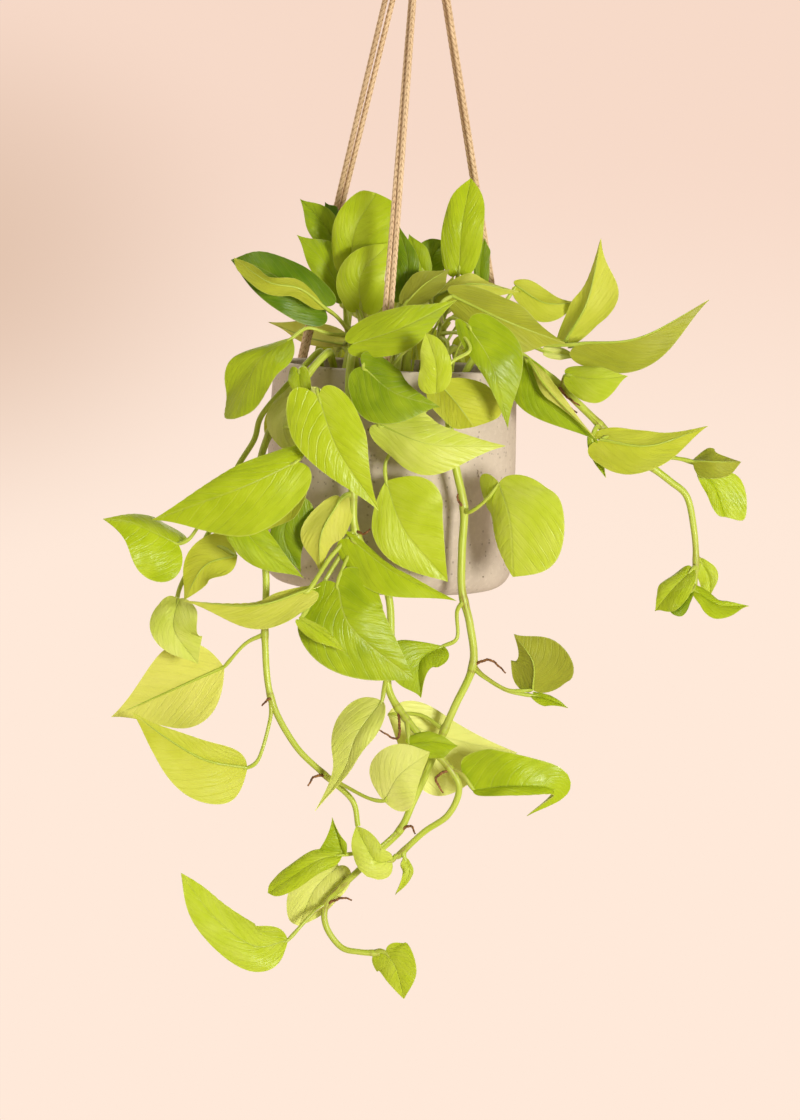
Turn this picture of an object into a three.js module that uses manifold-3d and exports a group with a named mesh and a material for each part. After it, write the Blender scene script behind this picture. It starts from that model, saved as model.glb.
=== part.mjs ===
// A golden-green pothos in a round concrete pot that hangs from three pairs of rope strands.
// Millimetres, +Z up. The origin is where a hook would hold the ring at the top, +Y points
// away from the viewer of the photograph and +X to the right.
import * as THREE from "three";
import { mergeVertices } from "three/addons/utils/BufferGeometryUtils.js";
import Module from "manifold-3d";

const wasm = await Module();
wasm.setup();

// ---- Driving dimensions ----
const POT_AXIS_X = -5.5;
const POT_HEIGHT = 147;
const POT_RADIUS = 83;
const RIM_RADIUS = 80.5;
const RIM_DEPTH = 372;
const WALL = 8.5;
const FLOOR = 10;
const BOTTOM_CORNER = 15;
const SOIL_BELOW_RIM = 21;
const FIT_GAP = 0.3;

const ROPE_DIAMETER = 3.6;
const ROPE_TURN_RADIUS = 7.5;
const ROPE_HOLE_RADIUS = 4.8;
const ROPE_HOLE_BELOW_RIM = 12;
const ROPE_BELOW_HOLE_AXIS = 1;
const ROPE_KNOT_RADIUS = 5.4;
const RING_RADIUS = 15;
const RING_WIRE_RADIUS = 2;
const NECK_RADIUS = 11;
const NECK_HEIGHT = 24;
const NECK_BELOW_RING = 9;

const STEM_RADIUS = 2.8;
const PETIOLE_RADIUS = 1.35;
const ROOT_RADIUS = 0.7;
const HOLE_CLEARANCE = 0.9;
const STEM_HOLE_DEPTH = 22;
const BLADE_THICKNESS = 0.8;
const BLADE_CUP = 2.4;
const BLADE_WAVE = 0.9;
const PETIOLE_ALONG_RIB = 4;

const RIM_Z = -RIM_DEPTH;
const POT_BOTTOM_Z = RIM_Z - POT_HEIGHT;
const SOIL_Z = RIM_Z - SOIL_BELOW_RIM;

// ---- The photograph's view ----
// A place is given as [px, py, depth]: the pixel where the photograph (800 by 1120) shows it
// and its depth in millimetres behind the plane of the rope ring (negative is nearer).
const VIEW = {
  focus: 3667,
  distance: 2450,
  across: 2.7,
  height: -243.6,
  pitch: THREE.MathUtils.degToRad(6.04),
  roll: THREE.MathUtils.degToRad(2.2),
  centre: [400, 560],
};

function seen([px, py, depth]) {
  const right = px - VIEW.centre[0];
  const up = VIEW.centre[1] - py;
  const x = right * Math.cos(VIEW.roll) - up * Math.sin(VIEW.roll);
  const y = right * Math.sin(VIEW.roll) + up * Math.cos(VIEW.roll);
  const ray = new THREE.Vector3(
    x,
    VIEW.focus * Math.cos(VIEW.pitch) + y * Math.sin(VIEW.pitch),
    y * Math.cos(VIEW.pitch) - VIEW.focus * Math.sin(VIEW.pitch),
  );
  ray.multiplyScalar((depth + VIEW.distance) / ray.y);
  return ray.add(new THREE.Vector3(VIEW.across, -VIEW.distance, VIEW.height));
}

// ---- Solids ----
function welded(geometry) {
  const bare = geometry.index ? geometry.clone() : geometry;
  bare.deleteAttribute("normal");
  bare.deleteAttribute("uv");
  return mergeVertices(bare, 1e-4);
}

function solidOf(geometry) {
  const closed = welded(geometry);
  return new wasm.Manifold(new wasm.Mesh({
    numProp: 3,
    vertProperties: new Float32Array(closed.attributes.position.array),
    triVerts: new Uint32Array(closed.index.array),
  }));
}

function geometryOf(solid) {
  const mesh = solid.getMesh();
  const geometry = new THREE.BufferGeometry();
  geometry.setAttribute("position", new THREE.BufferAttribute(mesh.vertProperties, 3));
  geometry.setIndex(new THREE.BufferAttribute(mesh.triVerts, 1));
  return geometry;
}

function joined(geometries) {
  return geometries.map(solidOf).reduce((whole, piece) => whole.add(piece));
}

// The largest closed shell of a fused solid: a hollow sealed by fusing is filled and a loose
// scrap is dropped.
function largestShell(geometry) {
  const place = geometry.attributes.position;
  const index = geometry.index.array;
  const parent = Array.from({ length: place.count }, (_, vertex) => vertex);
  const rootOf = (vertex) => {
    let top = vertex;
    while (parent[top] !== top) top = parent[top];
    parent[vertex] = top;
    return top;
  };
  for (let face = 0; face < index.length; face += 3) {
    parent[rootOf(index[face + 1])] = rootOf(index[face]);
    parent[rootOf(index[face + 2])] = rootOf(index[face]);
  }
  const shells = new Map();
  for (let face = 0; face < index.length; face += 3) {
    const root = rootOf(index[face]);
    const shell = shells.get(root) ?? { faces: [], volume: 0 };
    const corners = [0, 1, 2].map((corner) => index[face + corner]);
    const [a, b, c] = corners.map((corner) => new THREE.Vector3().fromBufferAttribute(place, corner));
    shell.faces.push(...corners);
    shell.volume += a.dot(b.cross(c));
    shells.set(root, shell);
  }
  const [largest] = [...shells.values()].sort((one, other) => other.volume - one.volume);
  const shell = geometry.clone();
  shell.setIndex(largest.faces);
  return welded(shell);
}

function through(points) {
  return new THREE.CatmullRomCurve3(points, false, "catmullrom", 0.5);
}

function tube(curve, radius, sides, steps) {
  const section = new THREE.Shape();
  for (let side = 0; side < sides; side += 1) {
    const angle = (2 * Math.PI * side) / sides;
    section[side ? "lineTo" : "moveTo"](radius * Math.cos(angle), radius * Math.sin(angle));
  }
  return new THREE.ExtrudeGeometry(section, { steps, extrudePath: curve, bevelEnabled: false });
}

function turned(profile, segments) {
  const geometry = new THREE.LatheGeometry(profile, segments);
  return geometry.rotateX(Math.PI / 2);
}

// ---- Leaf blades ----
// Half of a heart-shaped blade, flat: x runs from the midrib (0) to the widest point (1), and
// y from the notch where the stalk joins (0) to the tip (1).
const LOBE_DEPTH = 0.14;
const FULLNESS = 0.5;
const WIDEST_ROW = 0.45;
const WIDEST_Y = 0.27;
const MIDDLE_BLADE = 50;
const SMALL_BLADE = 32;

// The basal lobe reaches behind the notch by its depth. A negative depth gives a wedge-shaped base.
function lobeCurve(depth) {
  return new THREE.CubicBezierCurve(
    new THREE.Vector2(0, 0),
    new THREE.Vector2(0.25, -1.4 * depth),
    new THREE.Vector2(1, -depth),
    new THREE.Vector2(1, WIDEST_Y),
  );
}

// Above its widest point a blade tapers to the tip: sharply for a fullness of 0.5, bluntly for 1.
function flankCurve(fullness) {
  return new THREE.CubicBezierCurve(
    new THREE.Vector2(1, WIDEST_Y),
    new THREE.Vector2(1, fullness),
    new THREE.Vector2(1.3 * fullness - 0.37, 0.4 * fullness + 0.52),
    new THREE.Vector2(0, 1),
  );
}

function outline(leaf, row) {
  return row < WIDEST_ROW
    ? leaf.lobe.getPoint(row / WIDEST_ROW)
    : leaf.flank.getPoint((row - WIDEST_ROW) / (1 - WIDEST_ROW));
}

// A point of the bent blade. row runs from the notch (0) to the tip (1), and across from one
// margin (-1) over the midrib (0) to the other (1). The midrib follows its curve. Each half
// leans along the line from the midrib to its own widest point, turned as the midrib turns,
// and is cupped between midrib and margin and waved at the margin.
function bladePoint(leaf, row, across) {
  const edge = outline(leaf, row);
  const out = Math.abs(across);
  const start = row * row;
  const y = start + (edge.y - start) * out ** 1.5;
  const x = edge.x * out;
  const side = across < 0 ? leaf.sides[0] : leaf.sides[1];
  const at = Math.max(y, 0);
  const along = leaf.midrib.getTangent(at);
  const place = leaf.midrib.getPoint(at);
  place.addScaledVector(along, (y - at) * leaf.length);
  const turn = new THREE.Quaternion().setFromUnitVectors(leaf.along, along);
  const lean = side.reach.clone().applyQuaternion(turn);
  const normal = side.normal.clone().applyQuaternion(turn);
  const wave = BLADE_WAVE * x * x * Math.sin(4 * Math.PI * row + leaf.phase + 1.9 * across);
  return place
    .addScaledVector(lean, x)
    .addScaledVector(normal, 4 * BLADE_CUP * x * (1 - x) + wave);
}

// The two sides of a blade change places where its upper face would otherwise look away from
// the given direction.
function bentLeaf({ rib, sides, upward, index, fullness = FULLNESS, lobe = LOBE_DEPTH }) {
  const midrib = through(rib);
  const foot = midrib.getPoint(WIDEST_Y);
  const along = midrib.getTangent(WIDEST_Y);
  const reaches = sides.map((side) => side.clone().sub(foot));
  const face = reaches[1].clone().normalize().sub(reaches[0].clone().normalize()).cross(along);
  if (face.dot(upward) < 0) reaches.reverse();
  const [left, right] = reaches;
  return {
    midrib,
    along,
    length: midrib.getLength(),
    lobe: lobeCurve(lobe),
    flank: flankCurve(fullness),
    phase: 2.4 * index,
    sides: [
      { reach: left, normal: along.clone().cross(left).normalize() },
      { reach: right, normal: right.clone().cross(along).normalize() },
    ],
  };
}

// A leaf of the photograph shows its upper face to the viewer, or else its underside.
function seenLeaf({ rib, sides, under = false, fullness, lobe }, index) {
  const upward = new THREE.Vector3(0, under ? 1 : -1, 0);
  return bentLeaf({ rib: rib.map(seen), sides: sides.map(seen), upward, index, fullness, lobe });
}

// A blade's net has fewer rows and columns where the leaf is small.
function bladeGeometry(leaf) {
  const rows = leaf.length < MIDDLE_BLADE ? 4 : 5;
  const half = leaf.length < SMALL_BLADE ? 1 : 2;
  const wide = 2 * half + 1;
  const positions = [];
  const faces = [];
  const put = (point) => positions.push(point.x, point.y, point.z);
  put(bladePoint(leaf, 0, 0));
  for (let row = 1; row < rows; row += 1) {
    for (let column = -half; column <= half; column += 1) {
      put(bladePoint(leaf, row / rows, column / half));
    }
  }
  put(bladePoint(leaf, 1, 0));
  const tip = positions.length / 3 - 1;
  const cell = (row, column) => 1 + (row - 1) * wide + column;
  for (let column = 0; column < wide - 1; column += 1) {
    faces.push(0, cell(1, column + 1), cell(1, column));
    faces.push(tip, cell(rows - 1, column), cell(rows - 1, column + 1));
    for (let row = 1; row < rows - 1; row += 1) {
      const [a, b] = [cell(row, column), cell(row, column + 1)];
      const [c, d] = [cell(row + 1, column), cell(row + 1, column + 1)];
      faces.push(...(column < half ? [a, b, d, a, d, c] : [a, b, c, b, d, c]));
    }
  }
  const margin = [0];
  for (let row = 1; row < rows; row += 1) margin.push(cell(row, wide - 1));
  margin.push(tip);
  for (let row = rows - 1; row > 0; row -= 1) margin.push(cell(row, 0));
  return thickened(positions, faces, margin);
}

// Both faces of a sheet are moved out along its normals and joined by a strip at the margin.
function thickened(positions, faces, margin) {
  const sheet = new THREE.BufferGeometry();
  sheet.setAttribute("position", new THREE.Float32BufferAttribute(positions, 3));
  sheet.setIndex(faces);
  sheet.computeVertexNormals();
  const normals = sheet.attributes.normal.array;
  const count = positions.length / 3;
  const both = [1, -1].flatMap((face) => positions.map(
    (value, index) => value + (face * BLADE_THICKNESS * normals[index]) / 2,
  ));
  const index = [...faces];
  for (let face = 0; face < faces.length; face += 3) {
    index.push(faces[face] + count, faces[face + 2] + count, faces[face + 1] + count);
  }
  margin.forEach((from, place) => {
    const to = margin[(place + 1) % margin.length];
    index.push(to, from, from + count, to, from + count, to + count);
  });
  const closed = new THREE.BufferGeometry();
  closed.setAttribute("position", new THREE.Float32BufferAttribute(both, 3));
  closed.setIndex(index);
  return closed;
}

// ---- Stems and stalks ----
// A stem rises upright out of its hole in the soil, leans over at the height of the rim and
// then runs through its places.
const STEM_START = 4;

function stemCurve([x, y], places) {
  const root = new THREE.Vector3(POT_AXIS_X + x, y, SOIL_Z);
  const start = [1 - STEM_HOLE_DEPTH, 1, 9].map((z) => root.clone().setZ(SOIL_Z + z));
  const brow = root.clone().lerp(places[0], 0.45).setZ(RIM_Z + 4);
  return through([...start, brow, ...places]);
}

// A stalk runs on along the midrib, or ends at the notch where it would have to turn back.
function stalkCurve(from, leaf, arm = []) {
  const base = leaf.midrib.getPoint(0);
  const end = leaf.midrib.getPointAt(PETIOLE_ALONG_RIB / leaf.length);
  const rise = new THREE.Vector3(0, 0, 0.16 * from.distanceTo(base));
  const between = arm.length ? arm : [from.clone().lerp(base, 0.5).add(rise)];
  const heading = base.clone().sub(between.at(-1)).normalize();
  const turnsBack = heading.dot(end.clone().sub(base).normalize()) < 0.2;
  return through([from, ...between, base, ...(turnsBack ? [] : [end])]);
}

// A leafy stem of the photograph. A leaf's or aerial root's at counts the stem's places from
// the first one of its route.
function seenStem({ name, root, route, leaves, roots = [], radius }) {
  const stem = stemCurve(root, route.map(seen));
  const place = (at) => stem.getPoint((at + STEM_START) / (route.length + STEM_START - 1));
  return {
    name,
    root,
    stem,
    radius,
    stalks: leaves.map((entry, index) => ({
      leaf: seenLeaf(entry, index),
      from: place(entry.at),
      arm: entry.arm?.map(seen),
      thick: entry.stalk,
    })),
    rootlets: roots.map(({ at, to }) => through([place(at), ...to.map(seen)])),
  };
}

function leafyStemSolid({ stem, radius = STEM_RADIUS, stalks, rootlets = [] }) {
  const pieces = [tube(stem, radius, 4, Math.round(stem.getLength() / 14))];
  for (const { leaf, from, arm, thick = PETIOLE_RADIUS } of stalks) {
    const stalk = stalkCurve(from, leaf, arm);
    pieces.push(tube(stalk, thick, 3, Math.max(3, Math.round(stalk.getLength() / 16))));
    pieces.push(bladeGeometry(leaf));
  }
  for (const rootlet of rootlets) pieces.push(tube(rootlet, ROOT_RADIUS, 3, 3));
  return joined(pieces);
}

// ---- The plant: leafy stems, each with its places as [px, py, depth] ----
const SEEN_STEMS = [
  {
    name: "left_vine",
    root: [-48, -22],
    route: [[318, 352, -62], [290, 382, -74], [262, 415, -66], [254, 440, -64], [236, 470, -66],
      [215, 520, -70], [198, 552, -72], [181, 585, -74], [176, 604, -76]],
    leaves: [
      { at: 5, rib: [[178, 544, -82], [155, 533, -84], [130, 522, -84], [103, 519, -80]],
        sides: [[148, 579, -88], [158, 526, -62]], arm: [[205, 518, -80], [190, 538, -82]] },
      { at: 6, rib: [[237, 556, -88], [205, 566, -86], [184, 600, -86]],
        sides: [[212, 533, -82], [213, 576, -96]], under: true, fullness: 0.6, lobe: 0 },
      { at: 8, rib: [[178, 600, -84], [174, 630, -98], [198, 664, -104]],
        sides: [[150, 620, -92], [197, 632, -104]], fullness: 0.6, lobe: 0.1 },
    ],
  },
  {
    name: "left_hanging_stem",
    root: [-38, -40],
    route: [[326, 354, -72], [294, 392, -84], [270, 432, -82], [259, 470, -82], [260, 520, -84],
      [266, 577, -86], [265, 640, -88], [271, 698, -90], [295, 745, -94], [325, 775, -96],
      [352, 800, -98], [358, 826, -100]],
    leaves: [
      { at: 0.6, rib: [[299, 371, -92], [301, 388, -104], [309, 407, -106]],
        sides: [[289, 381, -96], [311, 384, -102]], arm: [[304, 368, -84]] },
      { at: 0.8, rib: [[303, 390, -92], [284, 425, -97], [299, 464, -94]],
        sides: [[268, 408, -90], [318, 425, -96]] },
      { at: 2, rib: [[296, 462, -124], [250, 484, -126], [202, 502, -120], [152, 520, -110]],
        sides: [[246, 465, -116], [256, 530, -118]], arm: [[292, 428, -104], [302, 452, -118]] },
      { at: 4.4, rib: [[224, 500, -104], [258, 546, -108], [304, 578, -106]],
        sides: [[262, 524, -100], [238, 552, -106]] },
      { at: 3, rib: [[304, 468, -110], [287, 502, -106], [262, 534, -100]],
        sides: [[274, 494, -100], [301, 510, -108]], arm: [[284, 462, -104]], under: true },
      { at: 4, rib: [[296, 500, -94], [284, 535, -94], [301, 573, -94]],
        sides: [[271, 530, -92], [309, 540, -94]] },
      { at: 5.9, rib: [[224, 667, -80], [172, 690, -82], [111, 717, -80]],
        sides: [[172, 645, -80], [196, 726, -90]], lobe: 0, arm: [[245, 644, -84]], under: true },
      { at: 7, rib: [[247, 768, -96], [205, 760, -104], [165, 737, -106], [132, 712, -104]],
        sides: [[216, 743, -98], [205, 803, -106]], lobe: 0,
        arm: [[270, 720, -92], [259, 758, -96]], under: true },
      { at: 9, rib: [[384, 801, -120], [400, 774, -128], [430, 752, -130]],
        sides: [[370, 762, -122], [411, 806, -130]], lobe: 0, fullness: 0.65,
        arm: [[345, 786, -104], [368, 798, -114]] },
    ],
    roots: [
      { at: 7, to: [[267, 700, -97], [262, 706, -99]] },
      { at: 9, to: [[314, 777, -104], [308, 786, -108]] },
    ],
  },
  {
    name: "front_stem",
    root: [-24, -50],
    route: [[352, 356, -84], [349, 385, -93], [350, 440, -94], [353, 495, -95], [355, 530, -96],
      [370, 562, -96], [388, 594, -96], [391, 640, -98], [389, 690, -100], [419, 735, -106],
      [450, 769, -108], [459, 790, -108], [448, 815, -106], [424, 832, -104], [398, 856, -102]],
    leaves: [
      { at: 2, rib: [[319, 398, -126], [338, 450, -134], [379, 511, -130]],
        sides: [[292, 432, -124], [364, 430, -130]], arm: [[335, 425, -106], [318, 390, -120]] },
      { at: 4, rib: [[309, 590, -118], [255, 606, -120], [184, 601, -112]], stalk: 2.6,
        sides: [[275, 597, -112], [272, 629, -126]], arm: [[330, 558, -106]], under: true },
      { at: 4.1, rib: [[300, 620, -128], [322, 634, -132], [345, 652, -132]], stalk: 2.2,
        sides: [[325, 629, -130], [313, 640, -134]], arm: [[340, 556, -100], [318, 592, -106]] },
      { at: 4.4, rib: [[337, 584, -112], [352, 628, -122], [414, 680, -114]],
        sides: [[305, 642, -114], [381, 606, -112]], fullness: 0.62 },
      { at: 3, rib: [[340, 500, -100], [321, 535, -108], [320, 574, -104]],
        sides: [[303, 526, -102], [344, 534, -102]], under: true },
      { at: 4.2, rib: [[352, 540, -102], [395, 573, -114], [457, 601, -116]],
        sides: [[381, 557, -108], [364, 586, -112]] },
      { at: 7.7, rib: [[382, 701, -108], [357, 735, -114], [343, 772, -116], [315, 811, -114]],
        sides: [[336, 717, -106], [372, 736, -122]], lobe: 0, fullness: 0.42 },
      { at: 8.6, rib: [[409, 744, -110], [432, 742, -112], [458, 746, -110]],
        sides: [[428, 733, -108], [440, 758, -114]] },
      { at: 10, rib: [[474, 790, -112], [515, 786, -120], [553, 791, -116], [527, 816, -108]],
        sides: [[480, 750, -110], [504, 796, -128]], lobe: 0, fullness: 0.5 },
      { at: 13.8, rib: [[404, 856, -104], [409, 874, -106], [395, 895, -104]],
        sides: [[402, 869, -104], [411, 868, -104]], lobe: -0.1 },
      { at: 14, rib: [[392, 861, -106], [376, 861, -112], [366, 846, -110], [356, 826, -106]],
        sides: [[376, 879, -110], [380, 848, -112]], fullness: 0.8, lobe: 0 },
    ],
    roots: [
      { at: 4, to: [[364, 534, -104], [370, 529, -106]] },
      { at: 8.4, to: [[398, 738, -114], [379, 730, -114]] },
      { at: 10, to: [[436, 778, -112], [443, 793, -114]] },
    ],
  },
  {
    name: "centre_right_vine",
    root: [28, -50],
    route: [[436, 360, -84], [444, 390, -92], [450, 430, -94], [456, 468, -94], [464, 508, -92],
      [462, 550, -92], [462, 590, -92], [470, 625, -92], [473, 665, -92], [455, 706, -92],
      [440, 740, -92], [425, 776, -92], [413, 802, -92], [400, 830, -92], [378, 852, -92],
      [357, 872, -92], [340, 888, -92], [326, 904, -92], [326, 926, -94], [341, 947, -96],
      [360, 952, -98], [380, 953, -98]],
    leaves: [
      { at: 1, rib: [[386, 481, -102], [404, 530, -108], [448, 582, -104]],
        sides: [[377, 540, -104], [441, 496, -104]], arm: [[400, 440, -100], [386, 462, -100]],
        lobe: 0, fullness: 0.6 },
      { at: 4, rib: [[499, 483, -104], [510, 522, -114], [513, 577, -110]],
        sides: [[490, 505, -92], [563, 510, -116]], fullness: 0.75,
        arm: [[470, 512, -98], [486, 500, -102]] },
      { at: 6.3, rib: [[443, 646, -102], [420, 662, -108], [421, 698, -106]],
        sides: [[391, 647, -106], [441, 668, -112]], lobe: 0,
        arm: [[457, 612, -98], [457, 638, -102]] },
      { at: 8, rib: [[533, 690, -96], [533, 662, -102], [514, 634, -98]],
        sides: [[511, 662, -92], [574, 668, -104]], arm: [[484, 676, -94], [508, 690, -96]],
        under: true },
      { at: 8.05, rib: [[535, 696, -94], [550, 700, -97], [568, 708, -98]],
        sides: [[546, 696, -93], [544, 706, -99]], arm: [[484, 677, -94], [508, 691, -95]] },
      { at: 9.7, rib: [[388, 714, -80], [440, 736, -78], [518, 753, -80]],
        sides: [[428, 705, -76], [432, 795, -84]], arm: [[420, 715, -84]], under: true, lobe: 0 },
      { at: 13, rib: [[343, 854, -104], [338, 836, -107], [332, 817, -104]],
        sides: [[318, 853, -104], [347, 846, -108]], lobe: 0, fullness: 0.4,
        arm: [[375, 850, -98], [358, 853, -101]] },
      { at: 16, rib: [[338, 866, -82], [314, 890, -84], [299, 926, -84]],
        sides: [[293, 884, -82], [338, 900, -88]], fullness: 0.7, arm: [[345, 876, -84]],
        under: true },
      { at: 17, rib: [[288, 940, -104], [254, 946, -112], [213, 916, -110], [181, 873, -102]],
        sides: [[254, 927, -100], [249, 971, -116]], lobe: 0, fullness: 0.7, arm: [[312, 914, -96]] },
      { at: 20.7, rib: [[386, 953, -100], [396, 968, -104], [404, 999, -102]],
        sides: [[376, 972, -98], [409, 947, -108]], fullness: 0.65 },
      { at: 13, rib: [[342, 855, -106], [317, 861, -112], [292, 877, -112], [268, 893, -108]],
        sides: [[311, 852, -106], [319, 874, -116]], lobe: 0, fullness: 0.85,
        arm: [[375, 850, -98], [358, 853, -101]] },
    ],
    roots: [
      { at: 8, to: [[490, 660, -98], [506, 673, -102]] },
      { at: 4, to: [[458, 500, -98], [458, 494, -100]] },
      { at: 13, to: [[411, 826, -97], [415, 834, -99]] },
      { at: 17, to: [[342, 898, -98], [352, 900, -100]] },
    ],
  },
  {
    name: "right_vine",
    root: [56, -18],
    route: [[505, 350, -30], [522, 357, -32], [542, 371, -34], [562, 388, -36], [590, 415, -38],
      [614, 438, -40], [645, 462, -42], [670, 481, -42], [687, 497, -42], [694, 530, -42],
      [696, 560, -42], [694, 587, -42]],
    leaves: [
      { at: 1, rib: [[525, 358, -42], [540, 396, -52], [596, 440, -58]],
        sides: [[511, 393, -46], [553, 388, -50]], arm: [[519, 356, -37]], lobe: 0, fullness: 0.55 },
      { at: 3, rib: [[567, 375, -54], [595, 379, -66], [628, 376, -68]],
        sides: [[592, 403, -70], [597, 367, -62]], arm: [[564, 378, -44]] },
      { at: 5, rib: [[600, 440, -48], [650, 446, -54], [708, 426, -50]],
        sides: [[642, 431, -46], [624, 474, -62]], arm: [[606, 437, -46]] },
      { at: 4.4, rib: [[592, 438, -46], [597, 457, -48], [606, 478, -48]],
        sides: [[590, 452, -46], [602, 454, -48]] },
      { at: 6.2, rib: [[692, 461, -48], [716, 462, -56], [741, 462, -50]],
        sides: [[711, 448, -44], [706, 478, -58]], lobe: 0, fullness: 0.72,
        arm: [[668, 458, -46]], under: true },
      { at: 10.3, rib: [[692, 570, -48], [672, 590, -54], [655, 611, -54]],
        sides: [[664, 586, -46], [681, 608, -62]] },
      { at: 10, rib: [[700, 560, -38], [709, 577, -36], [710, 598, -36]],
        sides: [[701, 584, -38], [717, 572, -38]] },
      { at: 11, rib: [[694, 590, -48], [718, 605, -54], [749, 606, -52]],
        sides: [[713, 598, -48], [712, 619, -60]] },
      { at: 11, rib: [[693, 590, -54], [682, 602, -60], [668, 609, -60]],
        sides: [[674, 594, -56], [684, 614, -66]] },
      { at: 6.2, rib: [[696, 464, -42], [714, 486, -40], [725, 517, -40]],
        sides: [[704, 489, -42], [741, 480, -36]], lobe: 0, fullness: 0.85,
        arm: [[668, 457, -42]] },
    ],
    roots: [
      { at: 2.6, to: [[560, 398, -42], [577, 413, -44]] },
      { at: 2.8, to: [[566, 396, -44], [580, 406, -46]] },
    ],
  },
  {
    name: "right_spray",
    root: [44, -2],
    route: [[484, 346, -12], [496, 336, -16]],
    leaves: [
      { at: 1, rib: [[579, 344, -42], [640, 338, -50], [709, 300, -44]],
        sides: [[622, 345, -18], [626, 373, -50]], arm: [[545, 345, -34]], fullness: 0.55,
        under: true },
      { at: 0.8, rib: [[565, 342, -26], [588, 300, -32], [601, 238, -26]],
        sides: [[569, 306, -22], [617, 303, -34]], arm: [[540, 340, -22]] },
      { at: 0.3, rib: [[516, 286, -12], [545, 303, -16], [580, 303, -14]],
        sides: [[547, 290, -8], [536, 320, -22]], arm: [[497, 316, -14]], under: true },
      { at: 0.6, rib: [[546, 352, -24], [562, 354, -25], [580, 358, -24]],
        sides: [[556, 347, -23], [556, 360, -26]], arm: [[530, 346, -20]] },
    ],
  },
  {
    name: "crown_right_front",
    root: [30, -26],
    route: [[440, 344, -62], [444, 326, -72]],
    leaves: [
      { at: 1, rib: [[468, 326, -116], [492, 366, -126], [508, 428, -120]],
        sides: [[470, 356, -122], [518, 346, -114]], arm: [[452, 318, -90]] },
      { at: 0.4, rib: [[440, 384, -106], [458, 405, -110], [474, 427, -108]],
        sides: [[434, 410, -106], [492, 390, -106]], arm: [[448, 345, -96], [442, 368, -104]],
        fullness: 0.9, under: true },
      { at: 0.6, rib: [[436, 393, -134], [436, 364, -142], [426, 333, -138]],
        sides: [[419, 378, -134], [452, 372, -140]],
        arm: [[460, 334, -112], [470, 350, -126], [450, 364, -128]], lobe: 0, fullness: 0.75 },
      { at: 1, rib: [[452, 296, -58], [508, 322, -62], [567, 344, -54]],
        sides: [[510, 299, -52], [502, 350, -62]], arm: [[440, 306, -62]], under: true },
    ],
  },
  {
    name: "crown_front",
    root: [8, -44],
    route: [[408, 350, -62], [410, 340, -72]],
    leaves: [
      { at: 1, rib: [[353, 344, -98], [402, 328, -108], [457, 300, -100]],
        sides: [[392, 309, -98], [402, 353, -112]], arm: [[398, 338, -90], [372, 342, -95]] },
      { at: 0.7, rib: [[363, 367, -110], [395, 393, -118], [440, 407, -116]],
        sides: [[396, 367, -106], [364, 418, -120]], arm: [[394, 350, -92], [372, 353, -100]] },
      { at: 0.3, rib: [[378, 424, -112], [430, 444, -122], [506, 446, -114]],
        sides: [[424, 414, -110], [418, 474, -120]], arm: [[392, 366, -94], [374, 396, -102]] },
    ],
  },
  {
    name: "crown_front_left",
    root: [-26, -30],
    route: [[352, 348, -58], [350, 332, -60]],
    leaves: [
      { at: 1, rib: [[322, 306, -66], [292, 286, -72], [256, 266, -68], [231, 260, -60]],
        sides: [[304, 271, -58], [282, 314, -76]], fullness: 0.6, arm: [[336, 316, -64]] },
      { at: 0.8, rib: [[292, 338, -78], [258, 362, -86], [234, 419, -84]],
        sides: [[228, 366, -74], [281, 372, -96]], fullness: 0.8, lobe: 0,
        arm: [[330, 334, -68], [308, 328, -74]] },
    ],
  },
  {
    name: "crown_middle",
    root: [-14, -8],
    route: [[372, 346, -22], [368, 326, -26]],
    leaves: [
      { at: 1, rib: [[361, 307, -32], [361, 275, -38], [389, 243, -32]],
        sides: [[338, 281, -30], [385, 284, -36]], fullness: 0.65 },
      { at: 0.7, rib: [[350, 268, -16], [355, 230, -22], [376, 193, -16]],
        sides: [[337, 234, -14], [388, 233, -20]], fullness: 0.84, arm: [[358, 305, -20]] },
      { at: 0.4, rib: [[402, 299, -22], [408, 262, -26], [396, 221, -20]],
        sides: [[395, 262, -20], [418, 270, -24]], arm: [[394, 324, -22]] },
      { at: 0.5, rib: [[405, 304, -40], [425, 284, -44], [450, 269, -42]],
        sides: [[412, 277, -38], [441, 290, -46]], arm: [[396, 326, -34]] },
    ],
  },
  {
    name: "crown_back_left",
    root: [-34, 10],
    route: [[352, 346, 8], [346, 322, 4]],
    leaves: [
      { at: 1, rib: [[343, 298, -6], [324, 262, -12], [297, 235, -6]],
        sides: [[335, 248, -4], [312, 272, -14]] },
      { at: 0.8, rib: [[339, 250, 8], [322, 222, 4], [300, 199, 10]],
        sides: [[334, 216, 8], [310, 234, 4]], arm: [[348, 290, 6]] },
      { at: 0.7, rib: [[341, 252, 18], [334, 226, 16], [325, 202, 18]],
        sides: [[322, 228, 16], [341, 212, 18]], arm: [[352, 290, 14]] },
      { at: 0.5, rib: [[344, 344, 46], [310, 338, 60], [268, 322, 62]],
        sides: [[314, 322, 60], [310, 347, 64]], arm: [[350, 338, 24]], under: true },
    ],
  },
  {
    name: "crown_back_right",
    root: [26, 12],
    route: [[438, 346, 10], [442, 322, 4]],
    leaves: [
      { at: 1, rib: [[459, 271, -8], [462, 226, -14], [471, 178, -6]],
        sides: [[443, 232, -8], [483, 232, -14]], fullness: 0.68, arm: [[452, 296, -2]] },
      { at: 0.9, rib: [[436, 296, -30], [472, 284, -36], [521, 292, -30]],
        sides: [[462, 271, -26], [476, 302, -40]], arm: [[436, 308, -20]] },
      { at: 0.8, rib: [[424, 273, 4], [416, 253, 2], [409, 234, 6]],
        sides: [[409, 256, 4], [428, 252, 4]], arm: [[430, 300, 4]] },
      { at: 0.8, rib: [[428, 270, 14], [434, 254, 12], [446, 240, 16]],
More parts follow.
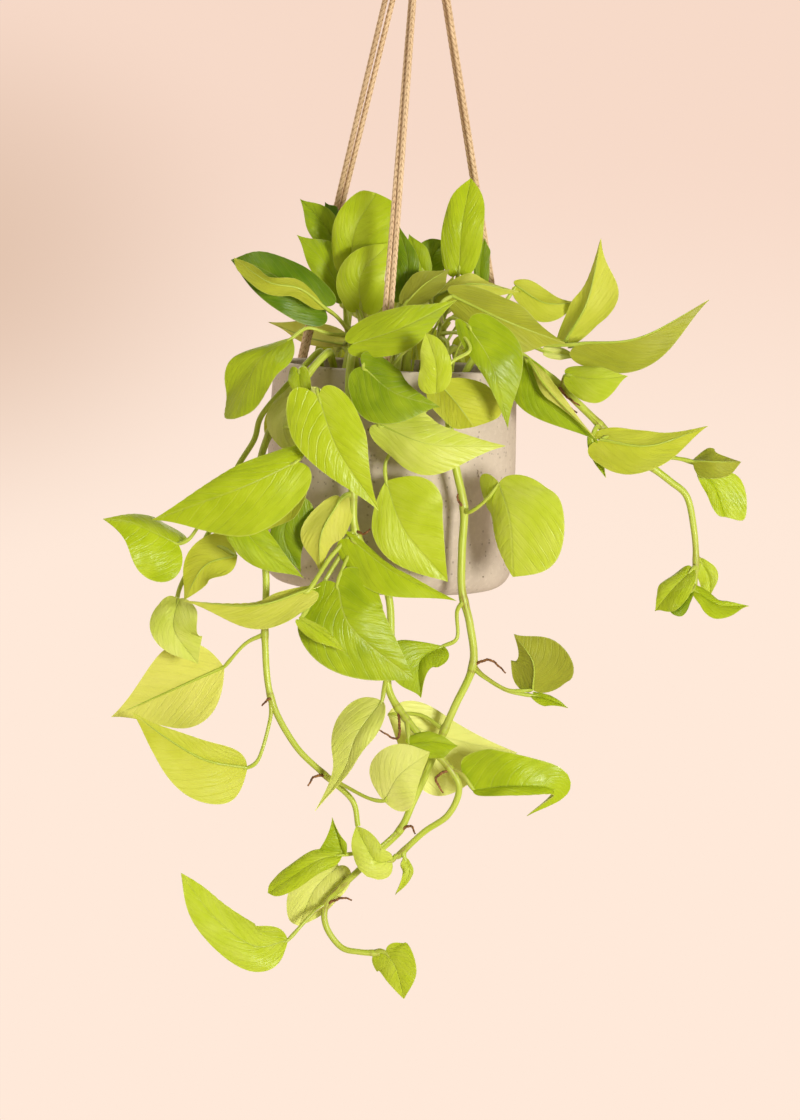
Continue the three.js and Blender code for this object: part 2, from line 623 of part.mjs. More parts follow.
        sides: [[419, 246, 12], [447, 262, 14]], arm: [[434, 300, 10]] },
      { at: 0.9, rib: [[480, 288, 6], [481, 262, 4], [485, 238, 6]],
        sides: [[474, 262, 4], [489, 260, 6]], arm: [[462, 310, 6]] },
    ],
  },
];

// ---- Leafy stems at the back, hanging down the far side of the pot by a rule ----
// Each leaves the soil near the far wall, arches over the rim and hangs outside the wall.
// Its leaves stand alternately to its left and right, with the upper face turned outward.
const BACK_STEMS = [
  { name: "back_left_stem", azimuth: 120, drop: 104, leafCount: 3, hangRadius: 90 },
  { name: "back_middle_stem", azimuth: 88, drop: 92, leafCount: 3, hangRadius: 106 },
  { name: "back_right_stem", azimuth: 58, drop: 96, leafCount: 3, hangRadius: 90 },
];
const BACK_ROOT_RADIUS = 52;
const BACK_LEAF_LENGTH = 70;
const BACK_LEAF_HALF_WIDTH = 22;

// Leaves that stand up behind the crown, between the ropes.
const BACK_CROWN = {
  name: "crown_back",
  root: [-4, 30],
  leaves: [
    { azimuth: 114, lean: 1.5, length: 60 },
    { azimuth: 84, lean: 1.3, length: 62 },
    { azimuth: 54, lean: 1.6, length: 58 },
  ],
};

function polar(azimuth, radius, z) {
  const angle = THREE.MathUtils.degToRad(azimuth);
  return new THREE.Vector3(POT_AXIS_X + radius * Math.cos(angle), radius * Math.sin(angle), z);
}

function backLeaf(base, outward, tipward, length, halfWidth, index) {
  const acrossBlade = tipward.clone().cross(outward).normalize();
  const bulge = outward.clone().multiplyScalar(0.12 * length);
  const middle = base.clone().addScaledVector(tipward, 0.5 * length).add(bulge);
  const tip = base.clone().addScaledVector(tipward, length);
  const widest = base.clone().addScaledVector(tipward, WIDEST_Y * length);
  const sides = [-1, 1].map((way) => widest.clone()
    .addScaledVector(acrossBlade, way * halfWidth)
    .addScaledVector(outward, -0.02 * length));
  return bentLeaf({ rib: [base, middle, tip], sides, upward: outward, index });
}

function backStem({ name, azimuth, drop, leafCount, hangRadius }) {
  const root = polar(azimuth, BACK_ROOT_RADIUS, 0);
  const path = [
    polar(azimuth, RIM_RADIUS - 4, RIM_Z + 9),
    polar(azimuth, hangRadius - 2, RIM_Z - 6),
    polar(azimuth, hangRadius, RIM_Z - drop / 2),
    polar(azimuth, hangRadius + 1, RIM_Z - drop),
  ];
  const stem = stemCurve([root.x - POT_AXIS_X, root.y], path);
  const outward = polar(azimuth, 1, 0).sub(polar(azimuth, 0, 0));
  const sideways = new THREE.Vector3(-outward.y, outward.x, 0);
  const stalks = [];
  for (let index = 0; index < leafCount; index += 1) {
    const at = 0.6 + (0.4 * index) / (leafCount - 1);
    const way = index % 2 ? 1 : -1;
    const from = stem.getPoint(at);
    const base = from.clone()
      .addScaledVector(outward, 12 + 4 * index)
      .addScaledVector(sideways, way * 9)
      .add(new THREE.Vector3(0, 0, 4));
    const tipward = new THREE.Vector3(0, 0, -1)
      .addScaledVector(sideways, 0.22 * way)
      .addScaledVector(outward, 0.3)
      .normalize();
    const length = BACK_LEAF_LENGTH * (1 - 0.1 * index);
    const leaf = backLeaf(base, outward, tipward, length, BACK_LEAF_HALF_WIDTH, index);
    stalks.push({ leaf, from });
  }
  return { name, root: [root.x - POT_AXIS_X, root.y], stem, stalks };
}

function backCrown({ name, root, leaves }) {
  const [x, y] = root;
  const top = new THREE.Vector3(POT_AXIS_X + x, y, RIM_Z + 14);
  const stem = stemCurve(root, [top]);
  const from = stem.getPoint(1);
  const stalks = leaves.map(({ azimuth, lean, length }, index) => {
    const outward = polar(azimuth, 1, 0).sub(polar(azimuth, 0, 0));
    const tipward = new THREE.Vector3(0, 0, 1).addScaledVector(outward, lean).normalize();
    const upper = new THREE.Vector3(0, 0, lean).sub(outward).normalize().negate();
    const base = from.clone().addScaledVector(tipward, 26);
    return { leaf: backLeaf(base, upper, tipward, length, 0.34 * length, index), from };
  });
  return { name, root, stem, stalks };
}

// ---- The pot and its soil ----
// The profile of the pot's outside, or of its inside where it is inset by the wall.
function potProfile(inset) {
  const belly = POT_RADIUS - inset;
  const floor = POT_BOTTOM_Z + (inset ? FLOOR + inset - WALL : 0);
  const corner = BOTTOM_CORNER - inset / 2;
  const profile = new THREE.Path();
  profile.moveTo(0, floor);
  profile.lineTo(belly - corner, floor);
  profile.absarc(belly - corner, floor + corner, corner, -Math.PI / 2, 0);
  profile.lineTo(belly, POT_BOTTOM_Z + 0.52 * POT_HEIGHT);
  profile.quadraticCurveTo(belly, RIM_Z - 0.2 * POT_HEIGHT, RIM_RADIUS - inset, RIM_Z);
  return profile.getPoints(2);
}

function potSolid() {
  let pot = solidOf(turned([...potProfile(0), ...potProfile(WALL).reverse()], 28));
  for (const { azimuth } of ROPES) {
    const bore = new THREE.CylinderGeometry(ROPE_HOLE_RADIUS, ROPE_HOLE_RADIUS, 3 * WALL, 12);
    bore.rotateZ(Math.PI / 2);
    bore.translate(RIM_RADIUS - WALL / 2, 0, RIM_Z - ROPE_HOLE_BELOW_RIM);
    bore.rotateZ(THREE.MathUtils.degToRad(azimuth));
    pot = pot.subtract(solidOf(bore));
  }
  return pot;
}

function soilSolid(roots) {
  const filling = [...potProfile(WALL + FIT_GAP), new THREE.Vector2(0, RIM_Z)];
  const above = new THREE.CylinderGeometry(POT_RADIUS, POT_RADIUS, 2 * SOIL_BELOW_RIM, 16);
  above.rotateX(Math.PI / 2);
  above.translate(0, 0, SOIL_Z + SOIL_BELOW_RIM);
  let soil = solidOf(turned(filling, 28)).subtract(solidOf(above));
  for (const [x, y] of roots) {
    const radius = STEM_RADIUS + HOLE_CLEARANCE;
    const hole = new THREE.CylinderGeometry(radius, radius, 2 * STEM_HOLE_DEPTH, 8);
    hole.rotateX(Math.PI / 2);
    hole.translate(x, y, SOIL_Z);
    soil = soil.subtract(solidOf(hole));
  }
  return soil;
}

// ---- Ropes, their knots, neck knot and ring ----
// Each hanger is two strands side by side. They come down outside the wall, turn in through one
// hole and end at a stopper knot against the inside of the wall. At the neck the pair stands
// spread apart along the direction spreadAngle.
const ROPES = [
  { name: "front_rope", azimuth: -95, spreadAngle: -80, spread: 5.4 },
  { name: "right_rope", azimuth: 28, spreadAngle: 118, spread: 4.4 },
  { name: "left_rope", azimuth: 140, spreadAngle: 180, spread: 5.6 },
];
const STRAND_GAP = 0.6;
const NECK_PAIR_RADIUS = 6.5;
const NECK_TOP_Z = -2 * RING_RADIUS - NECK_BELOW_RING;
const NECK_BOTTOM_Z = NECK_TOP_Z - NECK_HEIGHT;
const ROPE_HOLE_Z = RIM_Z - ROPE_HOLE_BELOW_RIM;
const ROPE_FOOT_RADIUS = RIM_RADIUS + ROPE_DIAMETER / 2 + 0.8;
const MOUTH_RADIUS = RIM_RADIUS - WALL;

function level(angle) {
  const radians = THREE.MathUtils.degToRad(angle);
  return new THREE.Vector3(Math.cos(radians), Math.sin(radians), 0);
}

// The places of one strand, from the neck knot (straight down to the rim) round the turn and
// through the hole. way is 1 or -1.
function strandPlaces({ azimuth, spreadAngle, spread }, way) {
  const outward = level(azimuth);
  const sideways = level(azimuth + 90).multiplyScalar((way * (ROPE_DIAMETER + STRAND_GAP)) / 2);
  const at = (radius, z) => new THREE.Vector3(POT_AXIS_X, 0, z)
    .addScaledVector(outward, radius)
    .add(sideways);
  const top = outward.clone().multiplyScalar(NECK_PAIR_RADIUS)
    .addScaledVector(level(spreadAngle), (way * spread) / 2)
    .setZ(NECK_BOTTOM_Z - FIT_GAP);
  const rim = at(ROPE_FOOT_RADIUS, RIM_Z);
  const places = [0, 0.5, 0.97].map((part) => top.clone().lerp(rim, part));
  places.push(rim);
  const turnZ = ROPE_HOLE_Z - ROPE_BELOW_HOLE_AXIS;
  for (const angle of [0, 22.5, 45, 67.5, 90]) {
    const turn = THREE.MathUtils.degToRad(angle);
    places.push(at(
      ROPE_FOOT_RADIUS - ROPE_TURN_RADIUS * (1 - Math.cos(turn)),
      turnZ + ROPE_TURN_RADIUS * (1 - Math.sin(turn)),
    ));
  }
  places.push(at(MOUTH_RADIUS - 0.2, turnZ));
  return places;
}

// A tube with a ring of its section at each of the given places.
function ropeTube(places) {
  const curve = new THREE.CatmullRomCurve3(places, false, "centripetal");
  curve.getPointAt = curve.getPoint;
  curve.getTangentAt = curve.getTangent;
  return tube(curve, ROPE_DIAMETER / 2, 8, places.length - 1);
}

function stopperKnot({ azimuth }) {
  const knot = new THREE.SphereGeometry(ROPE_KNOT_RADIUS, 8, 6);
  knot.scale(0.85, 1, 1);
  knot.translate(MOUTH_RADIUS - 0.6 - 0.85 * ROPE_KNOT_RADIUS, 0, ROPE_HOLE_Z - ROPE_BELOW_HOLE_AXIS);
  knot.rotateZ(THREE.MathUtils.degToRad(azimuth));
  return knot.translate(POT_AXIS_X, 0, 0);
}

function ringGeometry() {
  const ring = new THREE.TorusGeometry(RING_RADIUS, RING_WIRE_RADIUS, 6, 20);
  ring.rotateX(Math.PI / 2);
  return ring.translate(0, 0, RING_WIRE_RADIUS - RING_RADIUS);
}

// The neck is the ropes' tops bound together, with two bights that go over the ring's wire.
function neckSolid() {
  const barrel = [new THREE.Vector2(0, NECK_BOTTOM_Z)];
  for (let wrap = 0; wrap < 4; wrap += 1) {
    const low = NECK_BOTTOM_Z + (wrap * NECK_HEIGHT) / 4;
    barrel.push(new THREE.Vector2(NECK_RADIUS - 1, low + 0.3));
    barrel.push(new THREE.Vector2(NECK_RADIUS, low + NECK_HEIGHT / 8));
    barrel.push(new THREE.Vector2(NECK_RADIUS - 1, low + NECK_HEIGHT / 4 - 0.3));
  }
  barrel.push(new THREE.Vector2(0, NECK_TOP_Z));
  const pieces = [turned(barrel, 12)];
  const wireZ = RING_WIRE_RADIUS - 2 * RING_RADIUS;
  const over = RING_WIRE_RADIUS + ROPE_DIAMETER / 2 + 1.3;
  for (const x of [-3, 3]) {
    const bight = new THREE.Path();
    bight.moveTo(over, NECK_TOP_Z - 2);
    bight.lineTo(over, wireZ);
    bight.absarc(0, wireZ, over, 0, Math.PI);
    bight.lineTo(-over, NECK_TOP_Z - 2);
    const places = bight.getPoints(6).map((point) => new THREE.Vector3(x, point.x, point.y));
    pieces.push(tube(through(places), ROPE_DIAMETER / 2, 6, 8));
  }
  return joined(pieces);
}

// ---- Colours ----
const CONCRETE = new THREE.MeshStandardMaterial({ color: 0xd9cbbd, roughness: 0.9 });
const SOIL = new THREE.MeshStandardMaterial({ color: 0x3b2a1e, roughness: 1 });
const LEAF = new THREE.MeshStandardMaterial({ color: 0xb4cf2a, roughness: 0.4 });
const ROPE = new THREE.MeshStandardMaterial({ color: 0xc79a5e, roughness: 0.95 });
const STEEL = new THREE.MeshStandardMaterial({ color: 0xb9bbbe, roughness: 0.3, metalness: 1 });

function named(name, geometry, material) {
  const mesh = new THREE.Mesh(geometry, material);
  mesh.name = name;
  return mesh;
}

// ---- The whole ----
const group = new THREE.Group();
const potted = new THREE.Group();
potted.position.x = POT_AXIS_X;
group.add(potted);

const leafyStems = [
  ...SEEN_STEMS.map(seenStem),
  ...BACK_STEMS.map(backStem),
  backCrown(BACK_CROWN),
];
potted.add(named("pot", geometryOf(potSolid()), CONCRETE));
potted.add(named("soil", geometryOf(soilSolid(leafyStems.map(({ root }) => root))), SOIL));
for (const leafyStem of leafyStems) {
  const solid = leafyStemSolid(leafyStem);
  group.add(named(leafyStem.name, largestShell(geometryOf(solid)), LEAF));
}
for (const rope of ROPES) {
  group.add(named(`${rope.name}_strand_1`, welded(ropeTube(strandPlaces(rope, 1))), ROPE));
  group.add(named(`${rope.name}_strand_2`, welded(ropeTube(strandPlaces(rope, -1))), ROPE));
  group.add(named(`${rope.name}_stopper_knot`, welded(stopperKnot(rope)), ROPE));
}
group.add(named("neck_knot", geometryOf(neckSolid()), ROPE));
group.add(named("hanging_ring", welded(ringGeometry()), STEEL));

export default group;
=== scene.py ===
# A golden-green pothos in a round concrete pot, hung from three pairs of braided strands that
# gather in a bound neck below a steel ring. Lengths are millimetres unless a line says metres.
# The origin is where a hook holds the ring, +Y points away from the viewer and +Z up.
import math

import bmesh
import bpy
import numpy as np
from mathutils import Matrix, Vector


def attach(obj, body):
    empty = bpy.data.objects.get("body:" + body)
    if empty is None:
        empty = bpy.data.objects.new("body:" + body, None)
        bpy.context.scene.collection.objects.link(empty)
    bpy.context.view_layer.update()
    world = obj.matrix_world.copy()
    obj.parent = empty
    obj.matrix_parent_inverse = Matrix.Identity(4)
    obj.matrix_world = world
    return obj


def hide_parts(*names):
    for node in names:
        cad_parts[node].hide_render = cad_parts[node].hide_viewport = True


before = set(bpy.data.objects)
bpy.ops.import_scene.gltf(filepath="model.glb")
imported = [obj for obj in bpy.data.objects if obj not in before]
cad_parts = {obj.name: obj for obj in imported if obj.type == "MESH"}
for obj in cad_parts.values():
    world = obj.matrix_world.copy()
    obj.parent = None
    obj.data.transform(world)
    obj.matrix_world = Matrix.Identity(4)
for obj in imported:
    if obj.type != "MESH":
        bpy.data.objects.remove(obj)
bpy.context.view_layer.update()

# ---- Camera ----
# The plant was photographed from the front with a long lens, a little from above and with the
# camera rolled slightly. A place on the plant is written (px, py, depth): its pixel in the
# 800 by 1120 photograph and how far it lies behind the plane of the ring.
PHOTO_WIDTH, PHOTO_HEIGHT = 800, 1120
PHOTO_FOCUS = 3667
SENSOR = 36
CAMERA_PLACE = np.array([2.7, -2450.0, -243.6])
CAMERA_PITCH = math.radians(6.04)
CAMERA_ROLL = math.radians(2.2)


def seen(places):
    """The pixel's ray is unrolled, tilted down by the pitch and followed to the given depth."""
    px, py, depth = np.asarray(places, float).T
    right, up = px - PHOTO_WIDTH / 2, PHOTO_HEIGHT / 2 - py
    x = right * math.cos(CAMERA_ROLL) - up * math.sin(CAMERA_ROLL)
    y = right * math.sin(CAMERA_ROLL) + up * math.cos(CAMERA_ROLL)
    ray = np.stack([
        x,
        PHOTO_FOCUS * math.cos(CAMERA_PITCH) + y * math.sin(CAMERA_PITCH),
        y * math.cos(CAMERA_PITCH) - PHOTO_FOCUS * math.sin(CAMERA_PITCH),
    ], axis=-1)
    reach = (depth - CAMERA_PLACE[1]) / ray[..., 1]
    return ray * reach[..., None] + CAMERA_PLACE


camera = bpy.data.objects.new("camera", bpy.data.cameras.new("camera"))
bpy.context.scene.collection.objects.link(camera)
camera.data.sensor_width = SENSOR
camera.data.lens = SENSOR * PHOTO_FOCUS / PHOTO_HEIGHT
camera.location = CAMERA_PLACE / 1000
camera.rotation_euler = (
    Matrix.Rotation(math.pi / 2 - CAMERA_PITCH, 3, "X") @ Matrix.Rotation(CAMERA_ROLL, 3, "Z")
).to_euler()
bpy.context.scene.camera = camera

# ---- Rope strands ----
# Each of the three hangers is two strands of tan plant fibre, braided round, 3.6 mm thick. They
# run straight from the neck to the rim, turn in through one hole and end at a stopper knot.
POT_AXIS_X = -5.5
RIM_Z = -372
RIM_RADIUS = 80.5
WALL = 8.5
ROPE_DIAMETER = 3.6
ROPE_TURN_RADIUS = 7.5
ROPE_HOLE_Z = RIM_Z - 12
STRAND_GAP = 0.6
ROUTE_STEP = 0.5
NECK_BOTTOM_Z = -63
NECK_PAIR_RADIUS = 6.5
HANGERS = [
    {"name": "front_rope", "azimuth": -95, "spread_angle": -80, "spread": 5.4},
    {"name": "right_rope", "azimuth": 28, "spread_angle": 118, "spread": 4.4},
    {"name": "left_rope", "azimuth": 140, "spread_angle": 180, "spread": 5.6},
]


def level(angle):
    """The unit vector at an angle in degrees, in the horizontal plane."""
    return np.array([math.cos(math.radians(angle)), math.sin(math.radians(angle)), 0.0])


def running_length(points):
    """The length along a broken line, at each of its points."""
    return np.concatenate([[0], np.cumsum(np.linalg.norm(np.diff(points, axis=0), axis=1))])


def even_steps(points, step):
    """The broken line through the points, cut into equal steps."""
    points = np.asarray(points, float)
    length = running_length(points)
    at = np.linspace(0, length[-1], max(3, int(round(length[-1] / step)) + 1))
    return np.stack([np.interp(at, length, points[:, axis]) for axis in range(3)], axis=1)


def eased(points, width):
    """A running mean of the given odd count of points, with both ends kept in place."""
    half = width // 2
    before = 2 * points[0] - points[half:0:-1]
    after = 2 * points[-1] - points[-2:-half - 2:-1]
    padded = np.concatenate([before, points, after])
    return np.stack([
        np.convolve(padded[:, axis], np.ones(width) / width, "valid") for axis in range(3)
    ], axis=1)


def strand_route(hanger, way):
    """Straight from the neck to the rim, down over the wall, round a quarter turn and in."""
    outward = level(hanger["azimuth"])
    sideways = level(hanger["azimuth"] + 90) * way * (ROPE_DIAMETER + STRAND_GAP) / 2
    axis = np.array([POT_AXIS_X, 0, 0]) + sideways
    top = outward * NECK_PAIR_RADIUS + level(hanger["spread_angle"]) * way * hanger["spread"] / 2
    top[2] = NECK_BOTTOM_Z - 0.3
    foot = RIM_RADIUS + ROPE_DIAMETER / 2 + 0.8
    turn = np.radians(np.linspace(0, 90, 13))
    radius = np.concatenate([[foot], foot - ROPE_TURN_RADIUS * (1 - np.cos(turn))])
    height = np.concatenate([[RIM_Z], ROPE_HOLE_Z - 1 + ROPE_TURN_RADIUS * (1 - np.sin(turn))])
    radius = np.append(radius, RIM_RADIUS - WALL - 0.2)
    height = np.append(height, ROPE_HOLE_Z - 1)
    below = axis + radius[:, None] * outward + height[:, None] * np.array([0, 0, 1])
    return eased(even_steps(np.concatenate([[top], below]), ROUTE_STEP), 9)


def full_turn(count):
    """Equally spaced angles once round."""
    return 2 * np.pi * np.arange(count) / count


def grid_quads(rows, columns, closed_rows=False, closed_columns=False, flipped=False):
    """The quads of a grid whose points are counted row by row. Each goes from its corner to the
    next row, then to the next column and back, or the other way round where it is flipped. The
    last row or column meets the first again where they are closed."""
    i, j = np.meshgrid(np.arange(rows if closed_rows else rows - 1),
                       np.arange(columns if closed_columns else columns - 1), indexing="ij")
    row, column = i * columns, (j + 1) % columns
    next_row = (i + 1) % rows * columns
    quads = np.stack([row + j, next_row + j, next_row + column, row + column], axis=-1)
    return quads.reshape(-1, 4)[:, [0, 3, 2, 1] if flipped else [0, 1, 2, 3]]


def end_fans(rings, sides):
    """Triangles from the first and the last ring to two points that are counted after them."""
    side = np.arange(sides)
    following, last, count = (side + 1) % sides, (rings - 1) * sides, rings * sides
    return np.concatenate([
        np.stack([side, following, np.full(sides, count)], axis=-1),
        np.stack([last + following, last + side, np.full(sides, count + 1)], axis=-1)])


def tube(centres, radii, sides):
    """Rings of points round the centres, square to the path: each ring's first direction lies
    across the path's least-used axis. The ends are closed by fans. Gives the points, quads,
    triangles, and for each point its angle round the tube and its length along it."""
    centres = np.asarray(centres, float)
    along = np.gradient(centres, axis=0)
    along /= np.linalg.norm(along, axis=1)[:, None]
    reference = np.linalg.svd(along)[2][-1]
    across = np.cross(along, reference)
    across /= np.linalg.norm(across, axis=1)[:, None]
    upward = np.cross(across, along)
    angle = full_turn(sides)
    radii = np.broadcast_to(radii, len(centres))
    rings = centres[:, None] + radii[:, None, None] * (
        np.cos(angle)[None, :, None] * across[:, None]
        + np.sin(angle)[None, :, None] * upward[:, None]
    )
    length = running_length(centres)
    return {
        "points": np.concatenate([rings.reshape(-1, 3), centres[:1], centres[-1:]]),
        "quads": grid_quads(len(centres), sides, closed_columns=True),
        "triangles": end_fans(len(centres), sides),
        "angle": np.append(np.tile(angle, len(centres)), [0, 0]),
        "length": np.append(np.repeat(length, sides), [0, length[-1]]),
    }


def piece(name, parts, materials, smooth=True):
    """A mesh in metres from parts that each hold points, faces, point attributes and the
    number of the material that they use."""
    start, points, faces, used = 0, [], [], []
    for part in parts:
        points.append(part["points"] / 1000)
        for kind in ("quads", "triangles"):
            if len(part.get(kind, ())):
                faces += (part[kind] + start).tolist()
                used.append(np.full(len(part[kind]), part.get("material", 0)))
        start += len(part["points"])
    mesh = bpy.data.meshes.new(name)
    mesh.from_pydata(np.concatenate(points).tolist(), [], faces)
    mesh.polygons.foreach_set("material_index", np.concatenate(used).astype(np.int32))
    mesh.polygons.foreach_set("use_smooth", np.full(len(faces), smooth))
    for key in parts[0].get("attributes", {}):
        values = np.concatenate([part["attributes"][key] for part in parts])
        layer = mesh.attributes.new(key, "FLOAT_VECTOR", "POINT")
        layer.data.foreach_set("vector", values.astype(np.float32).ravel())
    for material in materials:
        mesh.materials.append(material)
    made = bpy.data.objects.new(name, mesh)
    bpy.context.scene.collection.objects.link(made)
    return made


def feed(tree, node, inputs):
    """Sets a shader node's inputs. Each is a value, or another node's output."""
    for name, value in inputs.items():
        if isinstance(value, bpy.types.NodeSocket):
            tree.links.new(value, node.inputs[name])
        else:
            node.inputs[name].default_value = value


def put(tree, kind, inputs=None, **settings):
    """A new shader node with its settings and inputs."""
    made = tree.nodes.new("ShaderNode" + kind)
    for name, value in settings.items():
        setattr(made, name, value)
    feed(tree, made, inputs or {})
    return made


def reckon(tree, operation, *values):
    """The result of a Math node."""
    return put(tree, "Math", dict(enumerate(values)), operation=operation).outputs[0]


def times(tree, first, second):
    return reckon(tree, "MULTIPLY", first, second)


def joined(tree, x, y, z):
    """The vector of three values."""
    return put(tree, "CombineXYZ", {0: x, 1: y, 2: z}).outputs[0]


def split(tree, vector):
    """The three values of a vector."""
    return put(tree, "SeparateXYZ", {0: vector}).outputs


def attribute(tree, name):
    """The three values that the mesh holds at each point under the name."""
    return split(tree, put(tree, "Attribute", attribute_name=name).outputs[1])


def ramp(tree, value, low, high, start=0.0, end=1.0):
    """The value's smooth passage from start to end as it goes from low to high."""
    return put(tree, "MapRange", {0: value, 1: low, 2: high, 3: start, 4: end},
               interpolation_type="SMOOTHSTEP").outputs[0]


def tint(tree, share, first, second):
    """The colour that goes from first to second with the share."""
    return put(tree, "Mix", {0: share, 6: first, 7: second}, data_type="RGBA").outputs[2]


def bump(tree, height, strength, distance):
    """A normal tilted by the slope of the height, which stands for a distance in metres."""
    return put(tree, "Bump", {"Height": height, "Strength": strength,
                              "Distance": distance}).outputs[0]


def noise(tree, place, scale=1.0, detail=3.0, roughness=0.55):
    """Soft random values about 0.5."""
    return put(tree, "TexNoise", {"Vector": place, "Scale": scale, "Detail": detail,
                                  "Roughness": roughness}).outputs[0]


def finish_of(name, roughness, specular=0.5):
    """A new material with one Principled shader, which it gives with its node tree and the
    place on the object."""
    material = bpy.data.materials.new(name)
    material.use_nodes = True
    tree = material.node_tree
    shader = tree.nodes["Principled BSDF"]
    feed(tree, shader, {"Roughness": roughness, "Specular IOR Level": specular})
    return material, tree, shader, put(tree, "TexCoord").outputs["Object"]


def rgb(red, green, blue):
    return (red, green, blue, 1.0)


# The braid: the attribute holds how high the surface stands, which yarn family is on top there
# and the length along the strand.
braided_fibre, tree, shader, place = finish_of("braided_fibre", 0.82, 0.25)
height, family, _ = attribute(tree, "braid")
fibre = noise(tree, place, 1500, 2.0)
patches = noise(tree, place, 45)
straw = tint(tree, ramp(tree, patches, 0.35, 0.65), rgb(0.58, 0.39, 0.205), rgb(0.70, 0.50, 0.29))
straw = tint(tree, ramp(tree, fibre, 0.3, 0.75), straw, rgb(0.84, 0.65, 0.42))
straw = tint(tree, times(tree, family, 0.10), straw, rgb(0.45, 0.28, 0.13))
# Where the surface stands low, in the grooves between the yarns, in the knots and in the packed
# ends, the straw is darkened: painted shade in the grooves.
straw = tint(tree, ramp(tree, height, 0.62, 0.1, 0.0, 0.85), straw, rgb(0.24, 0.125, 0.05))
feed(tree, shader, {"Base Color": straw, "Normal": bump(tree, fibre, 0.5, 0.0002)})

BRAID_COLUMNS = 4
BRAID_PITCH = 4.3


def braided(centres, diameter, sides=32):
    """A round braid: its yarns cross each column of the braid at a slant that turns round at the
    column's edges, as the zigzag of the angle does. How high the surface stands is a root of
    the sine across the yarn, lowered towards the column's edges, and the radius grows with it."""
    made = tube(centres, diameter / 2, sides)
    column = made["angle"] * BRAID_COLUMNS / (2 * np.pi)
    across = 2 * (column % 1) - 1
    slant = 0.95 * np.abs(column % 2 - 1)
    yarn = np.abs(np.sin(np.pi * (made["length"] / BRAID_PITCH + slant)))
    height = yarn ** 0.6 * (1 - 0.7 * across ** 4)
    middle = np.concatenate([np.repeat(centres, sides, axis=0), centres[:1], centres[-1:]])
    swell = 0.86 + 0.2 * height
    made["points"] = middle + (made["points"] - middle) * swell[:, None]
    made["attributes"] = {"braid": np.stack([height, column % 2 > 1, made["length"]], axis=-1)}
    return made


for hanger in HANGERS:
    for number, way in ((1, 1), (2, -1)):
        node = f"{hanger['name']}_strand_{number}"
        route = strand_route(hanger, way)
        strand = piece(f"{node}_braid", [braided(route, ROPE_DIAMETER)], [braided_fibre])
        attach(strand, "root")
        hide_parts(node)

# ---- Stopper knots ----
# Inside the wall each pair is tied in one round knot that can't pass through its hole.
KNOT_RADIUS = 5.4
KNOT_FLATNESS = 0.85
MERGE_METRES = 1e-6


def stopper_knot(azimuth):
    """A ball whose surface is wound by three crossing turns: its radius falls in the grooves
    between them. The turns follow the latitude plus the sine of twice the longitude."""
    longitude, latitude = np.meshgrid(np.linspace(0, 2 * np.pi, 65), np.linspace(0, np.pi, 33),
                                      indexing="ij")
    groove = np.abs(np.sin(3 * latitude + 1.1 * np.sin(2 * longitude)))
    radius = KNOT_RADIUS * (0.8 + 0.2 * groove ** 0.6)
    local = np.stack([
        KNOT_FLATNESS * radius * np.sin(latitude) * np.cos(longitude),
        radius * np.sin(latitude) * np.sin(longitude),
        radius * np.cos(latitude),
    ], axis=-1)
    outward, sideways = level(azimuth), level(azimuth + 90)
    centre = np.array([POT_AXIS_X, 0, ROPE_HOLE_Z - 1])
    centre = centre + outward * (RIM_RADIUS - WALL - 0.6 - KNOT_FLATNESS * KNOT_RADIUS)
    points = centre + local[..., :1] * outward + local[..., 1:2] * sideways
    points[..., 2] += local[..., 2]
    braid = np.stack([groove, 0 * groove, 12 * longitude], axis=-1).reshape(-1, 3)
    return {"points": points.reshape(-1, 3), "quads": grid_quads(*points.shape[:2], flipped=True),
            "attributes": {"braid": braid}}


def merged(made):
    """Joins points that coincide and turns the faces outward."""
    net = bmesh.new()
    net.from_mesh(made.data)
    bmesh.ops.remove_doubles(net, verts=net.verts, dist=MERGE_METRES)
    bmesh.ops.dissolve_degenerate(net, edges=net.edges, dist=MERGE_METRES)
    bmesh.ops.recalc_face_normals(net, faces=net.faces)
    net.to_mesh(made.data)
    net.free()
    return made


for hanger in HANGERS:
    knot = merged(piece(f"{hanger['name']}_tied_end", [stopper_knot(hanger["azimuth"])],
                        [braided_fibre]))
    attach(knot, "root")
    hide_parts(f"{hanger['name']}_stopper_knot")

# ---- Neck knot ----
# Above the pot the strands are gathered and whipped with the same cord. Two bights of rope come
# out of the top of the binding and go over the ring's wire.
NECK_TOP_Z = -39
NECK_RADIUS = 11
RING_RADIUS = 15
RING_WIRE_RADIUS = 2
WRAPS = 6


def whipping():
    """A cord wound round the neck: a helix of six turns, a cord's width apart."""
    turn = np.linspace(0, 2 * np.pi * (WRAPS - 0.95), 420)
    radius = NECK_RADIUS - ROPE_DIAMETER / 2
    rise = (NECK_TOP_Z - NECK_BOTTOM_Z - ROPE_DIAMETER - 0.4) * turn / turn[-1]
    return np.stack([radius * np.cos(turn + 2.2), radius * np.sin(turn + 2.2),
                     NECK_BOTTOM_Z + ROPE_DIAMETER / 2 + 0.2 + rise], axis=-1)


def bight(x):
    """Up from inside the binding, over the ring's wire in a half circle, and down again."""
    over = RING_WIRE_RADIUS + ROPE_DIAMETER / 2 + 0.6
    wire = RING_WIRE_RADIUS - 2 * RING_RADIUS
    turn = np.linspace(0, np.pi, 31)
    y = np.concatenate([[over * 0.7, over * 0.85], over * np.cos(turn),
                        [-over * 0.85, -over * 0.7]])
    z = np.concatenate([[NECK_TOP_Z - 6, NECK_TOP_Z - 1], wire + over * np.sin(turn),
                        [NECK_TOP_Z - 1, NECK_TOP_Z - 6]])
    return eased(even_steps(np.stack([np.full(len(y), x), y, z], axis=-1), ROUTE_STEP), 7)


